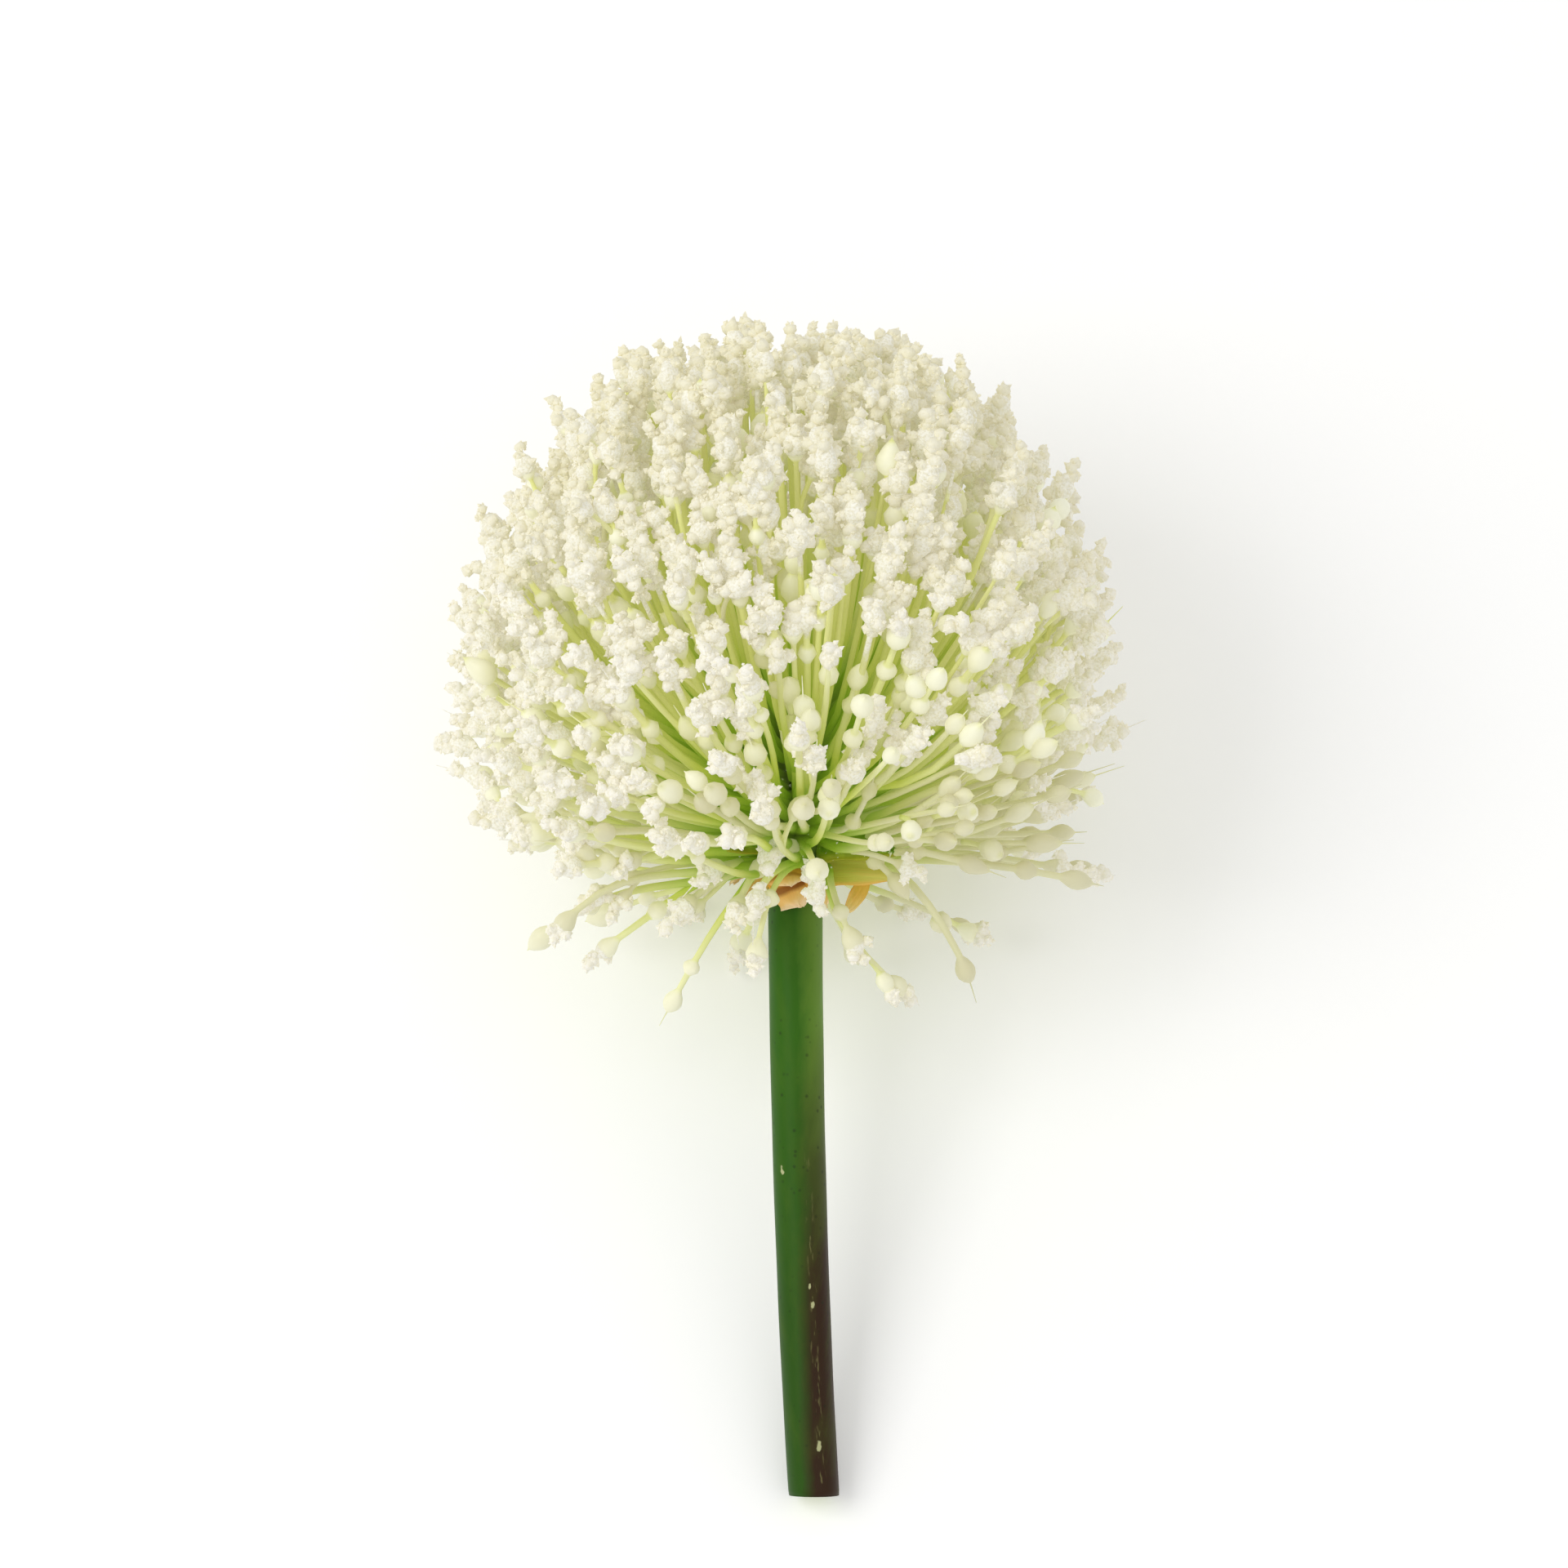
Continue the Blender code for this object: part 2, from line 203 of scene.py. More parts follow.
# Lumps of the white tips, the crumbs that stand on them, and specks on the feet of the pedicels
LUMP_RADIUS = 0.98 * MM
LUMPS_A_LENGTH = 1 / (0.82 * MM)
CRUMB_RADIUS = 0.38 * MM
CRUMBS_A_LUMP = 5
LUMP_ROUGHNESS = 0.2
CHIP_ROUGHNESS = 0.35
SPECK_SHARE = 0.05
SPECKS_BELOW = -18 * MM

# Studio: strength of the white world; azimuth, elevation, distance, size and power of each light; and
# the width of the photograph's frame and the height of its middle above the ball's
WORLD_STRENGTH = 0.69
LIGHTS = {
    "key_light": (-80, 55, 1.1, 0.6, 3.9),
    "fill_light": (60, 60, 1.2, 0.9, 0.9),
}
FLOOR_HALF_WIDTH = 3.0
FLOOR_GLOW = 0.12
FRAME_WIDTH = 249.6 * MM
FRAME_MIDDLE = -20.8 * MM
CAMERA_DISTANCE = 1.4


def unit(vectors):
    return vectors / np.linalg.norm(vectors, axis=-1, keepdims=True)


def lay_down(points, least_height=FLOOR_GAP):
    """Points of the growing flower, brought to where it lies and kept above the surface."""
    lying = points @ FLOWER_AXES + BALL_MIDDLE
    lying[..., 2] = np.maximum(lying[..., 2], least_height)
    return lying


def lifted(points, least_height):
    """Points moved up, as the flower lies, to at least a height above the surface."""
    return (lay_down(points, least_height) - BALL_MIDDLE) @ FLOWER_AXES.T


def receptacle_outline(shares):
    """Radii and heights of the receptacle at shares of its height: a sine swell, then a blunt dome."""
    swell = np.sin(np.pi / 2 * np.clip(shares / RECEPTACLE_WIDEST, 0, 1))
    lower = RECEPTACLE_BASE_RADIUS + (RECEPTACLE_RADIUS - RECEPTACLE_BASE_RADIUS) * swell
    along = np.clip((shares - RECEPTACLE_WIDEST) / (1 - RECEPTACLE_WIDEST), 0, 1)
    dome = np.sqrt(1 - along**RECEPTACLE_DOME_POWER)
    return lower * dome, RECEPTACLE_BOTTOM + shares * (RECEPTACLE_TOP - RECEPTACLE_BOTTOM)


def seats(area_shares, azimuths):
    """Points and outward normals on the receptacle, with those shares of its side's area above."""
    radii, heights = receptacle_outline(np.linspace(1, 0, 400))
    steps = np.arange(len(radii))
    bands = (radii[1:] + radii[:-1]) * np.hypot(np.diff(radii), np.diff(heights))
    area_above = np.concatenate([[0], np.cumsum(bands)]) / bands.sum()
    place = np.interp(area_shares, area_above, steps)
    radius, height, slope_out, slope_up = (
        np.interp(place, steps, values)
        for values in (radii, heights, np.gradient(radii), np.gradient(heights))
    )
    across = np.stack([np.cos(azimuths), np.sin(azimuths), np.zeros_like(azimuths)], axis=-1)
    up = np.array([0, 0, 1.0])
    outward = unit(across * -slope_up[:, None] + up * slope_out[:, None])
    return across * radius[:, None] + up * height[:, None] + [AXIS_X, 0, 0], outward


def golden_spiral(count, turn=0.0):
    """Shares of area and azimuths of points spread evenly over a turned surface."""
    order = np.arange(count)
    return (order + 0.5) / count, order * GOLDEN_ANGLE + turn


def ball_directions(area_shares, azimuths):
    """Directions from the ball's middle, with those shares of the ball's area above them."""
    up = 1 - area_shares * (1 - math.cos(BALL_LOWEST))
    level = np.sqrt(1 - up * up)
    return np.stack([level * np.cos(azimuths), level * np.sin(azimuths), up], axis=-1)


def ball_reach(directions):
    """Radius of the ball: even down to SKIRT_START, then growing with the angle."""
    polar = np.arccos(directions[..., 2])
    flare = np.clip(polar - SKIRT_START, 0, None) / (BALL_LOWEST - SKIRT_START)
    return BALL_RADIUS * (1 + SKIRT_FLARE * flare)


def window_nearness(directions):
    """1 in the middle of the thinner patch that faces the viewer, falling to 0 at its edge."""
    away = np.arccos(np.clip(directions @ unit(WINDOW), -1, 1)) / WINDOW_ANGLE
    return np.clip(1 - away, 0, 1)


def hollowness(directions):
    """0 on the clumps of the ball, rising to 1 in the hollows between them: a product of two waves."""
    waves = np.sin(directions @ HOLLOW_WAVES[0] + 1.0) * np.sin(directions @ HOLLOW_WAVES[1])
    return np.clip(waves * 1.6, 0, 1)


def ball_sprigs(share, azimuth, seat_share, short):
    """Sprigs of the ball, that fall short of its reach: their sprays, roots, normals, aims and tips."""
    middles = ball_directions(*golden_spiral(BALL_SPRAYS))
    aim = ball_directions(share, azimuth)
    root, outward = seats(seat_share, azimuth)
    return {
        "spray": np.argmax(aim @ middles.T, axis=1),
        "root": root,
        "outward": outward,
        "aim": aim,
        "tip": aim * (ball_reach(aim) * (1 - short))[:, None],
    }


def model_sprigs():
    """The model's own sprigs of the ball, at the places that it gives them."""
    draws = np.random.default_rng(SEED).random((BALL_SPRIGS, 2))
    share, azimuth = golden_spiral(BALL_SPRIGS)
    azimuth = azimuth + TURN_JITTER * (2 * draws[:, 0] - 1)
    short = (1 - SHORTEST_REACH) * draws[:, 1] ** REACH_BIAS
    return ball_sprigs(share, azimuth, share * LOWEST_BALL_SEAT, short)


def filler_sprigs(random):
    """Shorter sprigs in between, fewer of them in the patch that faces the viewer and low down."""
    share, azimuth = golden_spiral(FILLER_SPRIGS, turn=FILLER_TURN)
    share = np.clip(share + random.normal(0, FILLER_SHARE_JITTER, FILLER_SPRIGS), 0.001, 0.985)
    azimuth = azimuth + random.normal(0, FILLER_TURN_JITTER, FILLER_SPRIGS)
    aim = ball_directions(share, azimuth)
    window = window_nearness(aim)
    shortest, longest = FILLER_SHORT
    short = random.uniform(shortest, longest + WINDOW_SHORT * window)
    short = short + HOLLOW_DEPTH * hollowness(aim)
    kept = random.random(FILLER_SPRIGS) > WINDOW_THINNING * window
    right = np.clip(aim[:, 0] * 2, 0, 1)
    missing = np.interp(aim[:, 2], [-0.6, -0.3], [0.35, 0]) * (0.6 + right)
    kept &= random.random(FILLER_SPRIGS) > missing
    drop = FILLER_DROP * np.clip((share - 0.8) / 0.2, 0, 1) * random.random(FILLER_SPRIGS)
    return pick(ball_sprigs(share, azimuth, share * LOWEST_BALL_SEAT + drop, short), kept)


def drooping_sprigs():
    """The sprigs that hang below the ball, on seats in one ring round the receptacle's base."""
    azimuths = DROOPING_START + np.arange(DROOPING_SPRAYS) * 2 * np.pi / DROOPING_SPRAYS
    ring, normals = seats(np.full(DROOPING_SPRAYS, DROOPING_SEAT), azimuths)
    seat, passed, tip, coat_back = (np.array(column) for column in zip(*DROOPING_SPRIGS))
    passed, tip = passed * MM, tip * MM
    return {
        "spray": BALL_SPRAYS + seat,
        "root": ring[seat],
        "outward": normals[seat],
        "aim": unit(tip),
        "tip": tip,
        "passed": passed,
        "coat": coat_back * MM,
    }


def bezier(start, bend, end, along):
    """Points of quadratic Bezier curves at shares of their parameter, (curves, stations, 3)."""
    u = along[..., None]
    start, bend, end = (points[:, None, :] for points in (start, bend, end))
    return (1 - u) ** 2 * start + 2 * u * (1 - u) * bend + u**2 * end


def crosswise(directions):
    """A unit vector square to each direction."""
    return unit(np.cross(directions, np.eye(3)[np.argmin(np.abs(directions), axis=-1)]))


def across_path(paths):
    """Two unit vectors across each station of each path, that don't turn suddenly along it."""
    forward = unit(np.gradient(paths, axis=1))
    helper = crosswise(unit(paths[:, -1] - paths[:, 0]))[:, None, :]
    side = unit(np.cross(forward, helper))
    return side, np.cross(forward, side)


def grid_quads(rows, columns, closed):
    """Quads between the points of a grid, and from its last column to its first if it is closed."""
    row, column = np.meshgrid(np.arange(rows - 1), np.arange(columns - (not closed)), indexing="ij")
    here, beside = row * columns + column, row * columns + (column + 1) % columns
    return np.stack([here, beside, beside + columns, here + columns], axis=-1).reshape(-1, 4)


def sweep(paths, radii, sides):
    """Closed tubes: a ring round each station of each path, and a pole at either end.

    radii are (tubes, stations) or, for rough tubes, (tubes, stations, sides). Returns the points,
    (tubes, stations * sides + 2, 3), and the quads and triangles of all tubes.
    """
    tubes, stations = radii.shape[:2]
    side, over = across_path(paths)
    turn = np.arange(sides) * 2 * np.pi / sides
    ring = side[:, :, None] * np.cos(turn)[:, None] + over[:, :, None] * np.sin(turn)[:, None]
    points = paths[:, :, None] + ring * radii.reshape(tubes, stations, -1)[..., None]
    points = points.reshape(tubes, stations * sides, 3)
    points = np.concatenate([points, paths[:, :1], paths[:, -1:]], axis=1)
    quads = grid_quads(stations, sides, closed=True)
    first, last = np.arange(sides), (stations - 1) * sides + np.arange(sides)
    start_pole, end_pole = np.full(sides, stations * sides), np.full(sides, stations * sides + 1)
    starts = np.stack([start_pole, np.roll(first, -1), first], axis=-1)
    ends = np.stack([end_pole, last, np.roll(last, -1)], axis=-1)
    step = (np.arange(tubes) * points.shape[1])[:, None, None]
    triangles = np.concatenate([starts, ends])
    return points, (quads + step).reshape(-1, 4), (triangles + step).reshape(-1, 3)


def along_sweep(values, sides):
    """A value of each station, repeated for the points that sweep makes."""
    rings = np.repeat(values, sides, axis=1)
    return np.concatenate([rings, values[:, :1], values[:, -1:]], axis=1)


def bud_outline(along, lean):
    """Share of a bud's radius at a share of its length: a sine whose crest moves with lean.

    lean below 1 gives a drop with a long point, and above 1 a fig that flares from its neck.
    """
    return np.sin(np.pi * np.clip(along, 0, 1) ** lean[:, None]) ** 0.72


def grow(sprigs, detail):
    """Pedicels with a bead part of the way and a bud at the end, each as one tube.

    A pedicel is a quadratic Bezier curve that sways by a sine. The bead and the bud are placed by
    their distance back from its tip, and a thin wisp stands beyond it. Its radius is the larger of
    the pedicel's, which swells towards its foot, and the bead's or the bud's, which has three faint
    lobes and dents. Either all of the sprigs have a bead or none.
    """
    sides, stations, bead_share, bud_share = SPRIG_DETAILS[detail]
    bead_share, bud_share = np.array(bead_share), np.array(bud_share)
    if not sprigs["beaded"].all():
        bead_share = bead_share[:0]
    tip, bend = sprigs["tip"], sprigs["bend"]
    each = {key: values[:, None] for key, values in sprigs.items()}
    bead_start = each["bud_length"] + each["gap"] + each["bead_length"]
    back = [
        bead_start - bead_share * each["bead_length"],
        each["bud_length"] * (1 - bud_share),
        np.zeros((len(tip), 1)),
        -each["wisp"],
    ]
    outer = 1 - np.concatenate(back, axis=1) / (2 * np.linalg.norm(tip - bend, axis=1))[:, None]
    inner = np.linspace(0, 1, stations, endpoint=False) * outer[:, :1]
    u = np.concatenate([inner, outer], axis=1)
    paths = bezier(sprigs["root"], bend, tip, u)
    side, over = across_path(paths)
    sway = np.sin(2 * np.pi * u) * np.clip(1.2 - u, 0, 1)
    paths = paths + side * (sprigs["wave"][:, :1] * sway)[..., None]
    paths = paths + over * (sprigs["wave"][:, 1:] * sway)[..., None]
    plain = np.interp(u, [0, 0.35, 0.9, 1], [ROOT_RADIUS, PEDICEL_RADIUS, PEDICEL_RADIUS * 0.85, 0])
    plain = plain * (1 + each["foot"] * np.exp(-u / FOOT_FADE))
    bulge = [
        np.zeros_like(inner),
        each["bead_radius"] * bud_outline(bead_share, sprigs["bead_lean"]),
        each["bud_radius"] * bud_outline(bud_share, sprigs["bud_lean"]),
        np.zeros((len(tip), 2)),
    ]
    bulge = np.concatenate(bulge, axis=1)
    radii = np.maximum(np.maximum(plain * each["thick"], THINNEST), bulge)
    radii[:, -1] = CLOSED_END
    turn = np.arange(sides) * 2 * np.pi / sides
    lobes = BUD_LOBES * np.cos(3 * turn + each["phase"][..., None])
    dents = sprigs["dents"][:, : u.shape[1], :sides]
    rough = 1 + np.clip(bulge / BUD_RADIUS, 0, 1)[..., None] * (lobes + dents)
    points, quads, triangles = sweep(paths, radii[..., None] * rough, sides)
    paths, radii = paths[:, :-1], radii[:, :-1]
    steps = np.linalg.norm(np.diff(paths, axis=1), axis=2)
    to_tip = np.cumsum(steps[:, ::-1], axis=1)[:, ::-1]
    return {
        "points": points,
        "faces": (quads, triangles),
        "along": along_sweep(u, sides),
        "bulge": along_sweep(np.clip(bulge / (BUD_RADIUS * 0.6), 0, 1), sides),
        "paths": paths,
        "radii": radii,
        "to_tip": np.concatenate([to_tip, np.zeros((len(tip), 2))], axis=1),
        "sides": sides,
    }


def on_sprig(grown, which, back):
    """Centre, radius and direction of sprigs at a distance back from their tips; below 0 beyond."""
    paths, radii, to_tip = grown["paths"], grown["radii"], grown["to_tip"][which]
    after = np.argmax(to_tip <= np.maximum(back, 0)[:, None], axis=1)
    before = np.maximum(after - 1, 0)
    rows = np.arange(len(which))
    step = np.maximum(to_tip[rows, before] - to_tip[rows, after], 1e-9)
    t = np.clip((to_tip[rows, before] - back) / step, 0, 1)
    ahead = unit(paths[:, -1] - paths[:, -4])[which]
    centre = paths[which, before] * (1 - t[:, None]) + paths[which, after] * t[:, None]
    centre = centre - ahead * np.minimum(back, 0)[:, None]
    radius = radii[which, before] * (1 - t) + radii[which, after] * t
    return centre, np.where(back < 0, 0, radius), ahead


def coat(grown, back, beyond, random):
    """The white coat on the outer ends of sprigs: overlapping lumps, with crumbs standing on them.

    The coat runs from back before each tip to beyond after it; no coat where back is 0. Its lumps
    follow one another along the sprig, each a golden angle further round it. Returns the centres,
    outward directions and sizes of the lumps, and the same of the crumbs.
    """
    coated = np.flatnonzero(back > 0)
    back, length = back[coated], (back + beyond)[coated]
    lumps = np.clip(length * LUMPS_A_LENGTH, 4, 15).astype(int)
    sprig = np.repeat(np.arange(len(coated)), lumps)
    order = np.arange(len(sprig)) - np.repeat(np.cumsum(lumps) - lumps, lumps)
    share = (order + random.uniform(0.2, 0.8, len(sprig))) / lumps[sprig]
    middle, core, ahead = on_sprig(grown, coated[sprig], back[sprig] - share * length[sprig])
    side = crosswise(ahead)
    turn = order * GOLDEN_ANGLE + random.normal(0, 0.4, len(sprig))
    away = side * np.cos(turn)[:, None] + np.cross(ahead, side) * np.sin(turn)[:, None]
    size = LUMP_RADIUS * random.uniform(0.68, 1.25, len(sprig))
    middle = middle + away * (core * 0.75 + random.uniform(0.0, 0.75, len(sprig)) * MM)[:, None]
    lump = np.repeat(np.arange(len(sprig)), CRUMBS_A_LUMP)
    out = unit(random.normal(0, 1, (len(lump), 3)) + away[lump] * 0.7 + ahead[lump] * 0.3)
    crumb_size = CRUMB_RADIUS * random.uniform(0.6, 1.4, len(lump))
    standing = middle[lump] + out * size[lump, None] * random.uniform(0.85, 1.12, (len(lump), 1))
    return (middle, away, size), (standing, out, crumb_size)


def lump_shape():
    """An octahedron with each face split in four and pushed out to the unit ball."""
    points, faces = chip_shape()
    a, b, c = (points[faces[:, k]] for k in range(3))
    ab, bc, ca = a + b, b + c, c + a
    corners = unit(np.stack([a, ab, ca, ab, b, bc, ca, bc, c, ab, bc, ca], axis=1).reshape(-1, 3))
    points, faces = np.unique(corners.round(6), axis=0, return_inverse=True)
    return points, faces.reshape(-1, 3)


def chip_shape():
    """An octahedron in the unit ball."""
    points = np.array([[1, 0, 0], [0, 1, 0], [-1, 0, 0], [0, -1, 0], [0, 0, 1], [0, 0, -1.0]])
    upper = np.array([[0, 1, 4], [1, 2, 4], [2, 3, 4], [3, 0, 4]])
    lower = np.array([[1, 0, 5], [2, 1, 5], [3, 2, 5], [0, 3, 5]])
    return points, np.concatenate([upper, lower])


def grains(centres, outward, sizes, shape, rough, random):
    """Grains of those sizes: a shape made longer outward, each of its corners pushed in or out."""
    points, faces = shape
    count = len(centres)
    pushed = points * random.uniform(1 - rough, 1 + rough, (count, len(points), 1))
    pushed[..., 2] *= random.uniform(0.9, 1.35, (count, 1))
    side = unit(np.cross(outward, random.normal(0, 1, (count, 3))))
    axes = np.stack([side, np.cross(outward, side), outward], axis=1)
    step = (np.arange(count) * len(points))[:, None, None]
    placed = centres[:, None] + pushed @ axes * sizes[:, None, None]
    return {"points": placed, "faces": ((faces + step).reshape(-1, 3),)}


class Socket:
    """A shader socket. Arithmetic on it adds Math nodes."""

    def __init__(self, finish, output):
        self.finish = finish
        self.output = output

    def _math(self, operation, first, second):
        return self.finish.node("Math", {"operation": operation}, {0: first, 1: second})

    def __add__(self, other):
        return self._math("ADD", self, other)

    __radd__ = __add__

    def __sub__(self, other):
        return self._math("SUBTRACT", self, other)

    def __rsub__(self, other):
        return self._math("SUBTRACT", other, self)

    def __mul__(self, other):
        return self._math("MULTIPLY", self, other)

    __rmul__ = __mul__


class Finish:
    """A procedural material, built up node by node round its Principled shader.

    A glow is a faint emission in its own colour, and the surface isn't sampled as a light for it.
    """

    def __init__(self, name, roughness=0.5, specular=0.5, glow=0.0):
        self.material = bpy.data.materials.new(name)
        self.material.use_nodes = True
        self.material.cycles.emission_sampling = "NONE"
        self.tree = self.material.node_tree
        self.shader = self.tree.nodes["Principled BSDF"]
        self.glows = glow > 0
        constants = {"Roughness": roughness, "Specular IOR Level": specular, "Emission Strength": glow}
        self.set_sockets(self.shader, constants)

    def painted(self, colour, values):
        """The material, in a colour that it also glows in, with other values of its shader."""
        if self.glows:
            values = values | {"Emission Color": colour}
        self.set_sockets(self.shader, values | {"Base Color": colour})
        return self.material

    def set_sockets(self, node, values):
        for key, value in values.items():
            if isinstance(value, Socket):
                self.tree.links.new(value.output, node.inputs[key])
            else:
                node.inputs[key].default_value = value

    def node(self, kind, settings, values, output=0):
        """Any node: its settings first, then the values or links of its sockets."""
        made = self.tree.nodes.new("ShaderNode" + kind)
        for key, value in settings.items():
            if key == "stops":
                ramp = made.color_ramp.elements
                while len(ramp) < len(value):
                    ramp.new(1.0)
                for element, (position, colour) in zip(ramp, value):
                    element.position = position
                    element.color = colour
            else:
                setattr(made, key, value)
        self.set_sockets(made, values)
        return Socket(self, made.outputs[output])

    def place(self):
        return self.node("TexCoord", {}, {}, "Object")

    def attributes(self, *names):
        return [self.node("Attribute", {"attribute_name": name}, {}, "Fac") for name in names]

    def noise(self, scale, detail=3.0, vector=None):
        values = {"Vector": vector or self.place(), "Scale": scale, "Detail": detail, "Roughness": 0.55}
        return self.node("TexNoise", {}, values)

    def vectors(self, operation, first, second=(0, 0, 0), output=0):
        """Vector Math of two vectors; its output Value is the one that holds a number."""
        return self.node("VectorMath", {"operation": operation}, {0: first, 1: second}, output)

    def from_point(self, point):
        """The vector from a point of the lying flower to the place on the surface."""
        return self.vectors("SUBTRACT", self.place(), tuple(point.tolist()))

    def ramp(self, factor, stops):
        return self.node("ValToRGB", {"stops": stops}, {"Fac": factor})

    def steps(self, value, low, high, to_low=0.0, to_high=1.0):
        """The value's range from low to high, stretched to another range and held at its ends."""
        values = {"Value": value, "From Min": low, "From Max": high}
        values |= {"To Min": to_low, "To Max": to_high}
        return self.node("MapRange", {"clamp": True}, values)

    def mix(self, factor, first, second):
        return self.node("Mix", {"data_type": "RGBA"}, {0: factor, 6: first, 7: second}, 2)

    def bump(self, height, distance, strength):
        values = {"Height": height, "Distance": distance, "Strength": strength}
        return self.node("Bump", {}, values)


def srgb(red, green_with_painted_highlight, blue):
    """A linear colour with alpha, from the 0 to 255 values of a screen colour."""
    screen = np.array([red, green_with_painted_highlight, blue]) / 255
    linear = np.where(screen <= 0.04045, screen / 12.92, ((screen + 0.055) / 1.055) ** 2.4)
    return (*linear.tolist(), 1.0)


def floret_finish():
    """Waxy buds on pedicels that are deep green at the foot and paler towards the bud.

    along runs from 0 at the foot to 1 at the tip, and bulge from 0 on the pedicel to 1 on a bead or a
    bud. tone tells the sprigs apart, pale makes the outer pedicels yellower, and coated is 1 where a
    crust of fine white grains lies under the crumbs. Buds inside the ball are greener.
    """
    wax = Finish("waxy_floret", specular=0.35, glow=FLORET_GLOW)
    along, bulge, tone, coated, pale = wax.attributes("along", "bulge", "tone", "coated", "pale")
    cloud = wax.noise(140.0)
    pedicel = wax.ramp(
        along + (tone - 0.5) * 0.12,
        [
            (0.0, srgb(84, 116, 24)),
            (0.1, srgb(128, 164, 30)),
            (0.3, srgb(164, 196, 52)),
            (0.5, srgb(204, 216, 96)),
            (0.72, srgb(222, 226, 156)),
            (1.0, srgb(235, 234, 200)),
        ],
    )
    bud = wax.ramp(
        tone,
        [(0.0, srgb(240, 240, 219)), (0.5, srgb(237, 236, 208)), (1.0, srgb(209, 205, 171))],
    )
    from_middle = wax.vectors("LENGTH", wax.from_point(BALL_MIDDLE), output="Value")
    inside = wax.steps(from_middle, 0.86 * BALL_RADIUS, 0.6 * BALL_RADIUS)
    bud = wax.mix(inside * 0.6, bud, srgb(214, 215, 148))
    pedicel = wax.mix(pale * wax.steps(along, 0.38, 0.72), pedicel, srgb(221, 224, 142))
    bleached = wax.steps(tone, 0.5, 0.85) * wax.steps(along, 0.2, 0.55)
    pedicel = wax.mix(bleached, pedicel, srgb(213, 211, 170))
    colour = wax.mix(wax.steps(bulge, 0.25, 0.8), pedicel, bud)
    colour = wax.mix(wax.steps(cloud, 0.35, 0.75, 0.0, 0.16), colour, srgb(206, 196, 138))
    crusty = wax.steps(coated + (wax.noise(900.0) - 0.5) * 0.5, 0.35, 0.6)
    grain = wax.noise(2400.0, 2.0)
    grainy = wax.steps(grain, 0.42, 0.66, 0.0, 0.7)
    crust = wax.mix(grainy, srgb(239, 237, 225), srgb(220, 214, 184))
    relief = wax.noise(1100.0, 2.0) * 0.2 + grain * crusty
    return wax.painted(
        wax.mix(crusty, colour, crust),
        {
            "Roughness": wax.steps(cloud, 0.3, 0.7, 0.36, 0.5) + crusty * 0.45,
            "Normal": wax.bump(relief, 0.0003, 0.8),
        },
    )


def crumb_finish():
    """Crumbly matt white: fine pale and creamy grains, patches of cream, and a darker cream up the ball,
    partly the crumbs' own tint and partly painted shade on the ball's top.
    """
    crumbs = Finish("white_crumbs", roughness=0.9, specular=0.15, glow=CRUMB_GLOW)
    grain = crumbs.noise(2600.0, 2.0)
    cloud = crumbs.noise(190.0)
    colour = crumbs.mix(crumbs.steps(cloud, 0.4, 0.7), srgb(240, 237, 227), srgb(235, 231, 211))
    offset = crumbs.from_point(BALL_MIDDLE)
    up = crumbs.vectors("DOT_PRODUCT", offset, tuple(UP_STEM.tolist()), "Value")
    # Painted shade, with some cream tint: the crumbs turn a darker cream up the ball, where less light falls
    # on its top.
    cream_and_top_shade = crumbs.steps(up + (cloud - 0.5) * 0.03, -0.15 * BALL_RADIUS, 0.75 * BALL_RADIUS, 0.0, 0.75)
    colour = crumbs.mix(cream_and_top_shade, colour, srgb(231, 226, 200))
    colour = crumbs.mix(crumbs.steps(grain, 0.45, 0.68, 0.0, 0.5), colour, srgb(226, 221, 190))
    return crumbs.painted(colour, {"Normal": crumbs.bump(grain, 0.0002, 0.5)})


